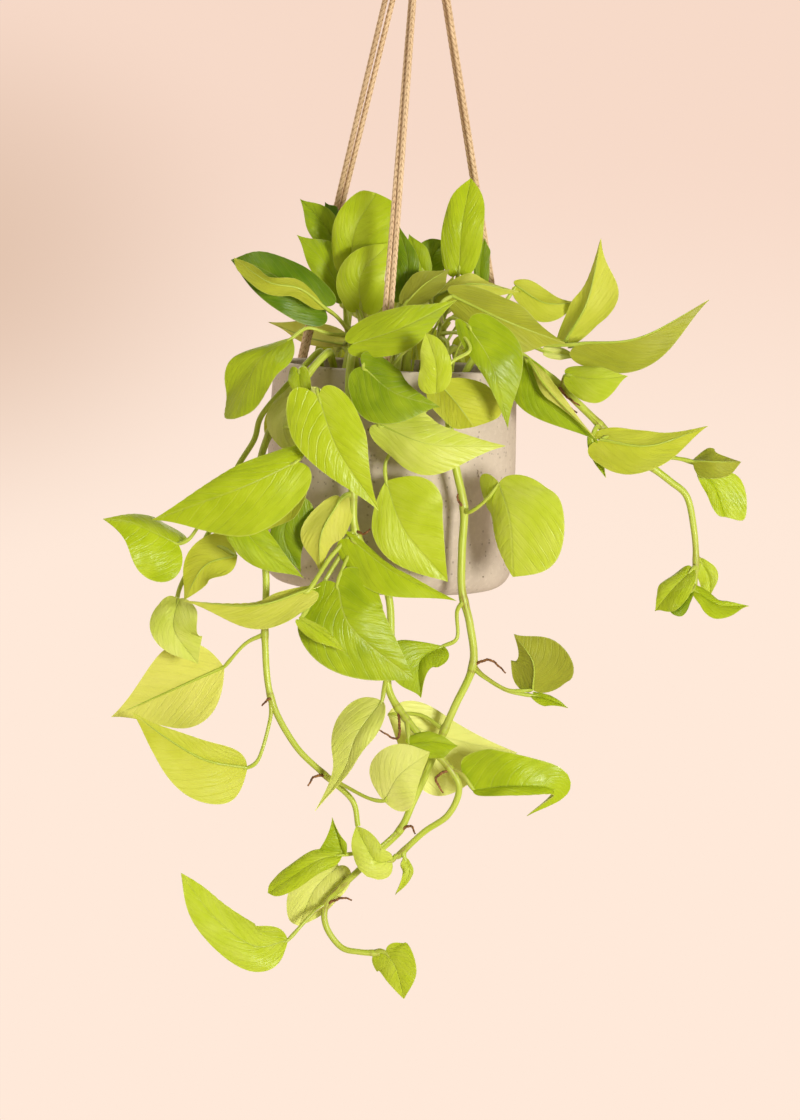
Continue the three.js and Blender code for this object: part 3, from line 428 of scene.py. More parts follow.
def packed_ends():
    """The tops of the gathered strands, a domed plug inside the binding: a tube whose radius
    falls off at both ends and ripples with the strands."""
    z = np.linspace(NECK_BOTTOM_Z + 0.3, NECK_TOP_Z + 1.2, 25)
    centres = np.stack([0 * z, 0 * z, z], axis=-1)
    share = np.linspace(-1, 1, 25)
    made = tube(centres, (NECK_RADIUS - ROPE_DIAMETER) * np.sqrt(1.001 - share ** 8), 48)
    height = 0.5 + 0.5 * np.cos(8 * made["angle"] + 0.3 * made["length"])
    outward = made["points"] * np.array([1, 1, 0])
    made["points"] = made["points"] + outward * (0.1 * height - 0.05)[:, None]
    made["attributes"] = {"braid": np.stack([height, height > 0.5, made["length"]], axis=-1)}
    return made


neck = piece("bound_neck", [
    packed_ends(),
    braided(whipping(), ROPE_DIAMETER, 24),
    braided(bight(-3), ROPE_DIAMETER, 24),
    braided(bight(3), ROPE_DIAMETER, 24),
], [braided_fibre])
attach(neck, "root")
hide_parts("neck_knot")

# ---- Hanging ring ----
# A welded ring of 4 mm steel wire, brushed, takes the hook at its inner top.
RING_SEGMENTS = 96
WIRE_SIDES = 24
WELD_ANGLE = 4.4

brushed_steel, tree, shader, place = finish_of("brushed_steel", 0.3)
scratches = noise(tree, place, 900, 4.0, 0.7)
feed(tree, shader, {
    "Metallic": 1.0,
    "Base Color": tint(tree, scratches, rgb(0.52, 0.52, 0.53), rgb(0.70, 0.70, 0.71)),
    "Roughness": ramp(tree, scratches, 0.3, 0.7, 0.22, 0.4),
})


def steel_ring():
    """A torus about the Y axis, with a low weld bead, a bell curve of the angle, at its foot."""
    around, section = np.meshgrid(full_turn(RING_SEGMENTS), full_turn(WIRE_SIDES), indexing="ij")
    wire = RING_WIRE_RADIUS + 0.25 * np.exp(-((around - WELD_ANGLE) / 0.06) ** 2)
    radius = RING_RADIUS + wire * np.cos(section)
    points = np.stack([radius * np.cos(around), wire * np.sin(section),
                       radius * np.sin(around) + RING_WIRE_RADIUS - RING_RADIUS], axis=-1)
    return {"points": points.reshape(-1, 3),
            "quads": grid_quads(RING_SEGMENTS, WIRE_SIDES, closed_rows=True, closed_columns=True)}


ring = merged(piece("steel_ring", [steel_ring()], [brushed_steel]))
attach(ring, "root")
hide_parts("hanging_ring")

# ---- Pot ----
# A straight-sided pot cast in light grey-beige concrete, 166 mm across, with a rounded lower
# corner, small air holes all over and three rope holes below the rim.
POT_RADIUS = 83
POT_HEIGHT = 147
POT_BOTTOM_Z = RIM_Z - POT_HEIGHT
FLOOR = 10
BOTTOM_CORNER = 15
LIP_RADIUS = 1.4
POT_SEGMENTS = 220
ROPE_HOLE_RADIUS = 4.8
PIT_DEPTH = 0.9
# Pixel and width, in pixels, of the larger air holes.
PITS = [(477, 472, 4.4), (478, 476, 3.0), (489, 543, 2.0), (495, 541, 1.6), (510, 444, 1.8),
        (276, 386, 1.8), (285, 389, 1.6), (308, 488, 1.8), (307, 497, 1.5), (483, 577, 2.2),
        (389, 462, 1.3), (372, 447, 1.2), (466, 488, 1.2), (503, 470, 1.3), (500, 506, 1.4)]

cast_concrete, tree, shader, place = finish_of("cast_concrete", 0.85, 0.3)
clouds = noise(tree, place, 14, 4.0, 0.6)
grain = noise(tree, place, 900, 3.0, 0.7)
sand = noise(tree, place, 260, 2.0, 0.6)
small = put(tree, "TexVoronoi", {"Vector": place, "Scale": 380})
small_pit = reckon(tree, "LESS_THAN", small.outputs[0], times(
    tree, 0.3, reckon(tree, "GREATER_THAN", small.outputs[1], 0.72)))
large = put(tree, "TexVoronoi", {"Vector": place, "Scale": 150})
large_pit = ramp(tree, reckon(tree, "SUBTRACT", large.outputs[0], times(
    tree, 0.17, ramp(tree, large.outputs[1], 0.55, 0.95))), 0.0, -0.02)
pits = reckon(tree, "MAXIMUM", times(tree, small_pit, 0.6), large_pit)
grey = tint(tree, ramp(tree, clouds, 0.3, 0.7), rgb(0.47, 0.40, 0.325), rgb(0.58, 0.50, 0.41))
grey = tint(tree, ramp(tree, sand, 0.45, 0.75, 0.0, 0.35), grey, rgb(0.68, 0.60, 0.51))
grey = tint(tree, ramp(tree, grain, 0.55, 0.8, 0.0, 0.4), grey, rgb(0.36, 0.31, 0.26))
# The pits are painted dark: painted shade inside the small air holes.
grey = tint(tree, times(tree, pits, 0.7), grey, rgb(0.14, 0.11, 0.085))
relief = reckon(tree, "SUBTRACT", times(tree, grain, 0.25), pits)
feed(tree, shader, {"Base Color": grey, "Normal": bump(tree, relief, 0.6, 0.0005)})


def pot_wall():
    """A closed profile turned round the pot's axis: up the outside, over the rounded rim, down
    the inside and across both floors. The outer radius wanders by a fifth of a millimetre."""
    corner = np.pi / 2 * np.linspace(0, 1, 10)
    rise = np.linspace(0, 1, 44)[1:]
    waist = POT_BOTTOM_Z + 0.52 * POT_HEIGHT
    sides = []
    for inset, floor in ((0, POT_BOTTOM_Z), (WALL, POT_BOTTOM_Z + FLOOR)):
        belly, bend = POT_RADIUS - inset, BOTTOM_CORNER - inset / 2
        straight = np.linspace(floor + bend, waist, 26)[1:]
        flare = [(1 - rise) ** 2 * a + 2 * rise * (1 - rise) * b + rise ** 2 * c
                 for a, b, c in ((belly, belly, RIM_RADIUS - inset),
                                 (waist, RIM_Z - 0.2 * POT_HEIGHT, RIM_Z - LIP_RADIUS))]
        radius = np.concatenate([
            np.linspace(0, belly - bend, 14)[:-1], belly - bend + bend * np.sin(corner),
            np.full(len(straight), belly), flare[0]])
        height = np.concatenate([
            np.full(13, floor), floor + bend * (1 - np.cos(corner)), straight, flare[1]])
        sides.append((radius, height))
    lip = np.linspace(0, np.pi / 2, 6)[1:]
    across, rise = LIP_RADIUS * np.cos(lip), LIP_RADIUS * np.sin(lip)
    outer_lip = (RIM_RADIUS - LIP_RADIUS + across, RIM_Z - LIP_RADIUS + rise)
    inner_lip = (RIM_RADIUS - WALL + LIP_RADIUS - rise, RIM_Z - LIP_RADIUS + across)
    radius = np.concatenate([sides[0][0], outer_lip[0], [RIM_RADIUS - WALL / 2], inner_lip[0],
                             sides[1][0][::-1][1:]])
    height = np.concatenate([sides[0][1], outer_lip[1], [RIM_Z], inner_lip[1],
                             sides[1][1][::-1][1:]])
    angle = full_turn(POT_SEGMENTS)
    wander = 0.2 * np.sin(3 * angle[:, None] + height / 23) * (radius > 60)
    reach = radius + wander * np.sin(height / 31 + angle[:, None])
    points = np.stack([POT_AXIS_X + reach * np.cos(angle)[:, None],
                       reach * np.sin(angle)[:, None],
                       np.broadcast_to(height, reach.shape)], axis=-1)
    return {"points": points.reshape(-1, 3),
            "quads": grid_quads(*reach.shape, closed_rows=True)}


def bore(centre, direction, radius, depth, name):
    """A round cutter: a straight tube along the direction, from the centre both ways."""
    ends = np.linspace(-depth, depth, 3)[:, None] * np.asarray(direction) + centre
    return piece(name, [tube(ends, radius, 24)], [])


def surface_place(px, py):
    """Where a pixel's ray meets the pot's outside: the depth is found in a few steps."""
    depth = -60.0
    for _ in range(8):
        x = seen([[px, py, depth]])[0, 0] - POT_AXIS_X
        depth = -math.sqrt(max(POT_RADIUS ** 2 - x ** 2, 1.0))
    return seen([[px, py, depth]])[0]


pot = merged(piece("cast_pot", [pot_wall()], [cast_concrete]))
cutters = [bore(level(h["azimuth"]) * (RIM_RADIUS - WALL / 2) + [POT_AXIS_X, 0, ROPE_HOLE_Z],
                level(h["azimuth"]), ROPE_HOLE_RADIUS, 12, "rope_hole") for h in HANGERS]
for px, py, width in PITS:
    centre = surface_place(px, py)
    inward = np.array([POT_AXIS_X, 0, centre[2]]) - centre
    cutters.append(bore(centre, inward / np.linalg.norm(inward), width * 0.32, PIT_DEPTH,
                        "air_hole"))
for cutter in cutters:
    cut = pot.modifiers.new(cutter.name, "BOOLEAN")
    cut.operation = "DIFFERENCE"
    cut.solver = "EXACT"
    cut.object = cutter
graph = bpy.context.evaluated_depsgraph_get()
carved = bpy.data.meshes.new_from_object(pot.evaluated_get(graph), depsgraph=graph)
pot.modifiers.clear()
pot.data = carved
for cutter in cutters:
    bpy.data.objects.remove(cutter)
carved.set_sharp_from_angle(angle=math.radians(38))
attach(pot, "root")
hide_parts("pot")

# ---- Soil ----
# Dark potting mix of bark and peat fills the pot to 21 mm below the rim.
SOIL_Z = RIM_Z - 21
SOIL_RADIUS = 73.2
SOIL_DEPTH = 40
SOIL_RINGS = 40
SOIL_SEGMENTS = 150

potting_mix, tree, shader, place = finish_of("potting_mix", 0.95, 0.2)
crumbs = noise(tree, place, 330, 5.0, 0.7)
bits = put(tree, "TexVoronoi", {"Vector": place, "Scale": 210}).outputs[1]
brown = tint(tree, ramp(tree, crumbs, 0.3, 0.7), rgb(0.018, 0.011, 0.007), rgb(0.075, 0.045, 0.028))
brown = tint(tree, times(tree, ramp(tree, bits, 0.75, 0.95), 0.6), brown, rgb(0.17, 0.09, 0.045))
feed(tree, shader, {"Base Color": brown, "Normal": bump(tree, crumbs, 0.9, 0.002)})


def soil_body():
    """A disc of rings whose height is a sum of crossed sines, sunk at the wall, closed below by
    one ring turned in to the pot's axis."""
    angle = full_turn(SOIL_SEGMENTS)
    share = np.linspace(0, 1, SOIL_RINGS)[1:]
    x = SOIL_RADIUS * share[:, None] * np.cos(angle)
    y = SOIL_RADIUS * share[:, None] * np.sin(angle)
    bumps = 0.7 * np.sin(x / 5.1 + 1.3 * np.sin(y / 7.3)) + 0.6 * np.sin(y / 3.9 + x / 9.1)
    bumps = bumps + 0.4 * np.sin(x / 1.9) * np.sin(y / 2.3 + x / 6)
    z = SOIL_Z - 1.2 + 1.8 * (1 - share[:, None] ** 4) + bumps * (1 - share[:, None] ** 6)
    top = np.stack([x, y, z], axis=-1).reshape(-1, 3)
    bottom_z = SOIL_Z - SOIL_DEPTH
    skirt = np.stack([x[-1], y[-1], np.full(SOIL_SEGMENTS, bottom_z)], axis=-1)
    points = np.concatenate([top, skirt, [[0, 0, SOIL_Z + 0.6], [0, 0, bottom_z]]])
    points[:, 0] += POT_AXIS_X
    return {"points": points,
            "quads": grid_quads(SOIL_RINGS, SOIL_SEGMENTS, closed_columns=True),
            "triangles": end_fans(SOIL_RINGS, SOIL_SEGMENTS)}


def bark_chips(count, seed):
    """Flat chips strewn over the soil: boxes with their corners moved at random, turned about Z
    and tilted, all made at once from arrays of one row a chip."""
    draw = np.random.default_rng(seed)
    radius = SOIL_RADIUS * 0.94 * np.sqrt(draw.random(count))
    angle = 2 * np.pi * draw.random(count)
    size = draw.uniform([1.4, 0.9, 0.5], [4.6, 2.6, 1.3], (count, 3))
    box = np.array([[x, y, z] for x in (-1, 1) for y in (-1, 1) for z in (-1, 1)], float)
    corners = box[None] * size[:, None] * draw.uniform(0.6, 1.1, (count, 8, 3))
    spin, tilt = 2 * np.pi * draw.random(count), draw.normal(0, 0.35, count)
    x = corners[..., 0] * np.cos(tilt)[:, None] - corners[..., 2] * np.sin(tilt)[:, None]
    z = corners[..., 0] * np.sin(tilt)[:, None] + corners[..., 2] * np.cos(tilt)[:, None]
    y = corners[..., 1]
    px = POT_AXIS_X + (radius * np.cos(angle))[:, None]
    py = (radius * np.sin(angle))[:, None]
    points = np.stack([
        px + x * np.cos(spin)[:, None] - y * np.sin(spin)[:, None],
        py + x * np.sin(spin)[:, None] + y * np.cos(spin)[:, None],
        SOIL_Z + 0.9 + z,
    ], axis=-1)
    face = np.array([[0, 1, 3, 2], [4, 6, 7, 5], [0, 4, 5, 1], [2, 3, 7, 6], [0, 2, 6, 4],
                     [1, 5, 7, 3]])
    quads = face[None] + 8 * np.arange(count)[:, None, None]
    return {"points": points.reshape(-1, 3), "quads": quads.reshape(-1, 4)}


soil = piece("potting_soil", [soil_body(), bark_chips(520, 4)], [potting_mix])
soil.data.set_sharp_from_angle(angle=math.radians(50))
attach(soil, "root")
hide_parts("soil")

# ---- Leaves, stalks and stems ----
# How the plant grows: glossy heart-shaped blades half a millimetre thick, each on a fleshy stalk
# that sheathes a joint of a round green stem, with short brown aerial roots at some joints.
STEM_RADIUS = 2.8
PETIOLE_RADIUS = 1.35
THICKEST_PETIOLE = 1.7
ROOT_RADIUS = 0.7
SHOOT_RADIUS = 0.95
STEM_START = 4
STEM_STEP = 1.5
PETIOLE_STEP = 1.2
ROOT_STEP = 0.6
BLADE_CUP = 1.3
BLADE_WAVE = 0.9
BLADE_FRILL = 0.35
VEIN_SWELL = 0.34
VEIN_SLANT = 0.30
VEIN_CURVE = 0.22
VEIN_COUNT = 7.7
FINE_VEIN_COUNT = 31.0
WIDEST_ROW = 0.45
WIDEST_Y = 0.27
PETIOLE_ALONG_RIB = 4


def swing(tree, value, size):
    """How far the value is from a half, times the size."""
    return times(tree, reckon(tree, "SUBTRACT", value, 0.5), size)


def lit_through(tree, shader, share, colour):
    """Gives a thin material its share of light that comes through from the other side."""
    glow = put(tree, "BsdfTranslucent", {"Color": colour})
    thin = put(tree, "MixShader", {0: share, 1: shader.outputs[0], 2: glow.outputs[0]})
    feed(tree, tree.nodes["Material Output"], {"Surface": thin.outputs[0]})


# A blade's measure is the way out to the margin, signed, the way along and the column. Its
# trait is which face it is, its paleness and a number of its own. The lateral veins leave the
# midrib at a slant and arch forward.
leaf_blade, tree, shader, place = finish_of("leaf_blade", 0.34, 0.30)
sideways, along, out = attribute(tree, "measure")
under, tone, seed = attribute(tree, "trait")
across = reckon(tree, "ABSOLUTE", sideways)
arch = times(tree, across, reckon(tree, "ADD", VEIN_SLANT, times(tree, across, VEIN_CURVE)))
vein_at = reckon(tree, "ADD", reckon(tree, "SUBTRACT", along, arch),
                 swing(tree, noise(tree, place, 70, 2.0), 0.05))
lateral_vein, fine_vein = [
    ramp(tree, reckon(tree, "PINGPONG", times(tree, vein_at, count), 0.5), width, 0.0)
    for count, width in ((VEIN_COUNT, 0.09), (FINE_VEIN_COUNT, 0.25))]
midrib = ramp(tree, across, 0.034, 0.008)
streak = noise(tree, joined(tree, times(tree, vein_at, 9.0), times(tree, sideways, 1.6),
                            times(tree, seed, 40.0)), 1.0, 4.0, 0.6)
mottle = noise(tree, place, 60, 3.0, 0.5)
# Each leaf's tone is partly its own colour and partly painted light: darker on the leaves that lie
# deep in the crown's shade, paler on the brightly lit ones.
paleness = reckon(tree, "ADD", tone, swing(tree, streak, 0.22))
paleness = reckon(tree, "ADD", paleness, swing(tree, mottle, 0.3))
DEEP_GREEN = rgb(0.07, 0.17, 0.003)
GOLDEN_GREEN = rgb(0.56, 0.69, 0.014)
BUTTER = rgb(0.90, 0.92, 0.30)
skin = tint(tree, ramp(tree, paleness, -0.1, 0.6), DEEP_GREEN, GOLDEN_GREEN)
skin = tint(tree, ramp(tree, paleness, 0.45, 1.1), skin, BUTTER)
skin = tint(tree, times(tree, under, 0.45), skin, rgb(0.72, 0.62, 0.07))
for line, share in ((fine_vein, 0.04), (lateral_vein, 0.06), (midrib, 0.11)):
    skin = tint(tree, times(tree, line, share), skin, BUTTER)
skin = tint(tree, ramp(tree, out, 0.97, 0.992, 0.0, 0.28), skin, BUTTER)
cells = noise(tree, place, 1100, 2.0)
pucker = noise(tree, joined(tree, times(tree, vein_at, 16.0), times(tree, sideways, 5.0),
                            times(tree, seed, 9.0)), 1.0, 2.0, 0.5)
relief = reckon(tree, "ADD", times(tree, cells, 0.12), times(tree, pucker, 1.6))
for line, depth in ((lateral_vein, 0.35), (fine_vein, 0.08), (midrib, 0.6)):
    relief = reckon(tree, "SUBTRACT", relief, times(tree, line, depth))
feed(tree, shader, {
    "Base Color": skin,
    "Roughness": reckon(tree, "ADD", ramp(tree, mottle, 0.3, 0.7, 0.28, 0.40),
                        times(tree, under, 0.14)),
    "Normal": bump(tree, relief, 0.75, 0.0005),
})
lit_through(tree, shader, 0.30, tint(tree, ramp(tree, paleness, 0.0, 0.8),
                                     rgb(0.22, 0.48, 0.005), rgb(0.78, 0.88, 0.04)))

# A stalk's measure is the angle round it and the length along it. Its trait is how scarred, how
# dried and how deep in colour it is.
green_stalk, tree, shader, place = finish_of("green_stalk", 0.38, 0.5)
angle, length, _ = attribute(tree, "measure")
scarred, dried, deep = attribute(tree, "trait")
streaks = noise(tree, joined(tree, times(tree, reckon(tree, "SINE", angle), 3.0),
                             times(tree, reckon(tree, "COSINE", angle), 3.0),
                             times(tree, length, 0.05)), 1.0, 4.0, 0.6)
blotch = noise(tree, place, 160, 4.0, 0.6)
flesh = tint(tree, ramp(tree, streaks, 0.3, 0.7), rgb(0.44, 0.57, 0.03), rgb(0.64, 0.72, 0.12))
flesh = tint(tree, times(tree, deep, 0.5), flesh, rgb(0.34, 0.48, 0.03))
flesh = tint(tree, reckon(tree, "MAXIMUM", times(tree, dried, ramp(tree, streaks, 0.50, 0.57)),
                          times(tree, scarred, ramp(tree, blotch, 0.3, 0.65, 0.1, 0.6))),
             flesh, rgb(0.22, 0.10, 0.025))
feed(tree, shader, {"Base Color": flesh, "Roughness": ramp(tree, blotch, 0.3, 0.7, 0.3, 0.48),
                    "Normal": bump(tree, streaks, 0.35, 0.0005)})
lit_through(tree, shader, 0.15, rgb(0.62, 0.70, 0.08))

aerial_root, tree, shader, place = finish_of("aerial_root", 0.75, 0.3)
bark = noise(tree, place, 420, 4.0, 0.65)
feed(tree, shader, {"Base Color": tint(tree, ramp(tree, bark, 0.35, 0.65),
                                       rgb(0.10, 0.04, 0.012), rgb(0.33, 0.15, 0.05)),
                    "Normal": bump(tree, bark, 0.6, 0.0004)})


def curve_at(points, share):
    """Places and directions on a curve through the points. Between two of them it is a cubic
    whose slope at each is half the step between that point's neighbours, and past the ends
    the points are mirrored. The share runs from 0 to 1 over equal counts of points."""
    points = np.asarray(points, float)
    padded = np.concatenate([[2 * points[0] - points[1]], points, [2 * points[-1] - points[-2]]])
    share = np.clip(np.asarray(share, float), 0, 1) * (len(points) - 1)
    span = np.minimum(share.astype(int), len(points) - 2)
    part = (share - span)[..., None]
    before, start, end, after = (padded[span + step] for step in range(4))
    leaving, coming = (end - before) / 2, (after - start) / 2
    bend = 3 * (end - start) - 2 * leaving - coming
    twist = 2 * (start - end) + leaving + coming
    place = start + part * (leaving + part * (bend + part * twist))
    slope = leaving + part * (2 * bend + 3 * part * twist)
    return place, slope / np.linalg.norm(slope, axis=-1, keepdims=True)


def stepped(points, step):
    """The curve through the points as a line of equal steps."""
    return even_steps(curve_at(points, np.linspace(0, 1, 40 * len(points)))[0], step)


def line_length(points):
    return np.linalg.norm(np.diff(points, axis=0), axis=1).sum()


def even_lengths(centres):
    """The length along a line of equal steps, at each of its points."""
    return np.linspace(0, line_length(centres), len(centres))


def rib_line(rib):
    """A fine line along a leaf's midrib."""
    return curve_at(rib, np.linspace(0, 1, 201))[0]


def unit(vectors):
    return vectors / np.linalg.norm(vectors, axis=-1, keepdims=True)


def bent_leaf(rib, sides, upward, index, tone, fullness=0.5, lobe=0.14, under=False, fold=0.24,
              brown=0.0):
    """A leaf's midrib curve and its two halves. Each half reaches from the midrib's widest
    place to one side point, and the halves change places where the upper face would
    otherwise look away from the given direction."""
    rib, sides = np.asarray(rib, float), np.asarray(sides, float)
    foot, along = curve_at(rib, WIDEST_Y)
    reaches = sides - foot
    face = np.cross(unit(reaches[1]) - unit(reaches[0]), along)
    if face @ upward < 0:
        reaches = reaches[::-1]
    left, right = reaches
    return {
        "rib": rib, "along": along, "index": index, "tone": tone, "under": under,
        "fullness": fullness, "lobe": lobe, "fold": fold, "brown": brown,
        "length": line_length(rib_line(rib)),
        "halves": [(left, unit(np.cross(along, left))), (right, unit(np.cross(right, along)))],
    }


def turned_with(vectors, start, ends):
    """A vector turned by the least rotation that takes the start direction to each end one:
    its cosine part, plus the axis crossed with it, plus its part along the axis."""
    axis = np.cross(start, ends)
    cosine = (ends @ start)[..., None]
    return (cosine * vectors + np.cross(axis, vectors)
            + axis * (axis @ vectors)[..., None] / (1 + cosine))


def cubic(corners, share):
    """A Bezier cubic in the plane: four corners weighted by the Bernstein polynomials."""
    rest = 1 - share
    weights = np.stack([rest ** 3, 3 * rest ** 2 * share, 3 * rest * share ** 2, share ** 3],
                       axis=-1)
    return weights @ np.array(corners, float)


FULL_LENGTH = 90
MARGIN_THICKNESS = 0.25
RIB_THICKNESS = 0.3
BLADE_COLUMNS = np.array([0, 0.035, 0.09, 0.17, 0.26, 0.36, 0.47, 0.58, 0.68, 0.78, 0.87, 0.945,
                          1])


def blade(leaf):
    """The bent blade as two faces half a millimetre apart. The row runs from the notch to the
    tip and the column from one margin over the midrib to the other. The outline's two cubics
    give the margin, and the height above the midrib's plane is the cup, a parabola between
    midrib and margin, plus the fold of each half about the midrib, a sine wave near the margin
    and low swells between the veins."""
    rows = int(np.clip(leaf["length"] / 1.4, 24, 60))
    row = np.linspace(0, 1, rows + 1)
    lobe, fullness = leaf["lobe"], leaf["fullness"]
    edge = np.where(
        (row < WIDEST_ROW)[:, None],
        cubic([(0, 0), (0.25, -1.4 * lobe), (1, -lobe), (1, WIDEST_Y)],
              np.clip(row / WIDEST_ROW, 0, 1)),
        cubic([(1, WIDEST_Y), (1, fullness), (1.3 * fullness - 0.37, 0.4 * fullness + 0.52),
               (0, 1)], np.clip((row - WIDEST_ROW) / (1 - WIDEST_ROW), 0, 1)))
    across = np.concatenate([-BLADE_COLUMNS[:0:-1], BLADE_COLUMNS])
    out = np.abs(across)
    row, start = row[:, None], row[:, None] ** 2
    y = start + (edge[:, 1:] - start) * out ** 1.5
    x = edge[:, :1] * out
    at = np.clip(y, 0, 1)
    place, along = curve_at(leaf["rib"], at)
    place = place + along * ((y - at) * leaf["length"])[..., None]
    cup = 4 * BLADE_CUP * x * (1 - x)
    wave = BLADE_WAVE * x * x * np.sin(4 * np.pi * row + 2.4 * leaf["index"] + 1.9 * across)
    frill = BLADE_FRILL * x ** 4 * np.sin(17 * row + 1.7 * leaf["index"] - 2.3 * across)
    vein_at = y - VEIN_SLANT * x - VEIN_CURVE * x * x
    size = min(leaf["length"], FULL_LENGTH) / FULL_LENGTH
    swell = (VEIN_SWELL * size * np.cos(2 * np.pi * VEIN_COUNT * vein_at)
             * x ** 0.6 * (1 - x) ** 0.4)
    swell = swell * (0.75 + 0.6 * np.sin(5 * row + 3 * across + leaf["index"]))
    phase = leaf["length"] + leaf["index"]
    swell = swell + size * x * (0.5 * np.sin(9 * y + 4 * across + phase)
                                + 0.4 * np.sin(6 * across - 13 * y + 2 * phase))
    height = cup + wave + frill * size - swell
    points = np.empty(place.shape)
    for chosen, (reach, normal) in ((across < 0, leaf["halves"][0]),
                                    (across >= 0, leaf["halves"][1])):
        lean = turned_with(reach, leaf["along"], along[:, chosen])
        lift = turned_with(normal, leaf["along"], along[:, chosen])
        fold = leaf["fold"] * np.linalg.norm(reach) * x * (1 - 0.35 * x)
        points[:, chosen] = (place[:, chosen] + lean * x[:, chosen, None]
                             + lift * (height + fold)[:, chosen, None])
    normal = np.cross(np.gradient(points, axis=1), np.gradient(points, axis=0))
    normal[0], normal[-1] = normal[1].mean(axis=0), normal[-2].mean(axis=0)
    outset = (MARGIN_THICKNESS + RIB_THICKNESS * (1 - x ** 2))[..., None] / 2 * unit(normal)
    columns = len(across)
    count = (rows - 1) * columns + 2

    def sheet(values):
        return np.concatenate([values[:1, 0], values[1:-1].reshape(count - 2, -1), values[-1:, 0]])

    shape = x.shape
    measure = sheet(np.stack([np.broadcast_to(np.sign(across) * x, shape), y,
                              np.broadcast_to(out, shape)], axis=-1))
    measure[[0, -1], 2] = 1
    seed = 0.5 + 0.5 * math.sin(7.3 * leaf["index"] + leaf["length"])
    quads = 1 + grid_quads(rows - 1, columns, flipped=True)
    j = np.arange(columns - 1)
    last = 1 + (rows - 2) * columns
    fans = np.concatenate([np.stack([0 * j, 2 + j, 1 + j], axis=-1),
                           np.stack([0 * j + count - 1, last + j, last + j + 1], axis=-1)])
    left = 1 + np.arange(rows - 1) * columns
    margin = np.concatenate([[0], left + columns - 1, [count - 1], left[::-1]])
    following = np.roll(margin, -1)
    rim = np.stack([following, margin, margin + count, following + count], axis=-1)
    return {
        "points": np.concatenate([sheet(points + outset), sheet(points - outset)]),
        "quads": np.concatenate([quads, quads[:, ::-1] + count, rim]),
        "triangles": np.concatenate([fans, fans[:, ::-1] + count]),
        "attributes": {"measure": np.concatenate([measure, measure]),
                       "trait": np.repeat([[face, leaf["tone"], seed] for face in (0.0, 1.0)],
                                          count, axis=0)},
    }


def stalk(centres, radii, scars=None, dry=None, deep=0.0, sides=12, material=1):
    """A round stalk along the centres, with how scarred and how dried it is along its length."""
    made = tube(centres, radii, sides)
    none = np.zeros(len(centres))
    traits = np.stack([none if scars is None else scars, none if dry is None else dry,
                       none + deep], axis=-1)
    made["attributes"] = {
        "measure": np.stack([made["angle"], made["length"], 0 * made["length"]], axis=-1),
        "trait": np.concatenate([np.repeat(traits, sides, axis=0), traits[:1], traits[-1:]]),
    }
    made["material"] = material
    return made


def petiole(start, leaf, arm, thick):
    """The stalk runs from the stem through its arm to the notch and a little along the midrib,
    or stops at the notch where it would have to turn back. Its radius falls from a sheath at
    the stem to a slim neck and swells a little again before the blade."""
    base = leaf["rib"][0]
    on_rib = even_steps(rib_line(leaf["rib"]), 0.25)
    end = on_rib[min(int(PETIOLE_ALONG_RIB / 0.25), len(on_rib) - 1)]
    if arm is None:
        arm = [(start + base) / 2 + [0, 0, 0.16 * np.linalg.norm(base - start)]]
    heading = unit(base - arm[-1])
    points = [start, *arm, base]
    if heading @ unit(end - base) >= 0.2:
        points.append(end)
    centres = stepped(points, PETIOLE_STEP)
    length = even_lengths(centres)
    left = length[-1] - length
    radii = thick * (0.86 + 0.55 * np.exp(-length / 7) + 0.18 * np.exp(-((left - 9) / 4) ** 2))
    radii = radii * (1 - 0.45 * np.exp(-left / 2.5))
    dry = np.exp(-length / 16) * (0.5 + 0.5 * np.sin(leaf["index"] * 2.1 + leaf["length"]))
    dry = np.maximum(dry, leaf["brown"] * np.clip(1.2 - 1.4 * length / length[-1], 0, 1))
    return stalk(centres, radii, dry=dry)


def underside_rib(leaf):
    """The midrib's ridge below the blade: a stalk that tapers to nothing near the tip."""
    share = np.linspace(0.0, 0.9, 40)
    place, along = curve_at(leaf["rib"], share)
    (left, _), (right, _) = leaf["halves"]
    facing = turned_with(unit(np.cross(unit(right) - unit(left), leaf["along"])),
                         leaf["along"], along)
    radii = 0.95 * min(1.0, leaf["length"] / 70) * (1 - share / 0.9) ** 0.7 + 0.12
    return stalk(place - facing * (0.55 * radii)[:, None], radii, deep=0.4, sides=8)


def rootlet(start, places):
    """A short dry root: a thin tube that tapers and wanders by a sine of its length."""
    centres = stepped([start, *places], ROOT_STEP)
    length = even_lengths(centres)
    centres = centres + 0.15 * np.stack([np.sin(length * 0.9), 0 * length,
                                         np.cos(length * 1.1)], axis=-1)
    radii = ROOT_RADIUS * (1.35 - 0.65 * (length / length[-1]) ** 2)
    return stalk(centres, radii * (1 + 0.15 * np.sin(length * 2.9)), sides=8, material=2)


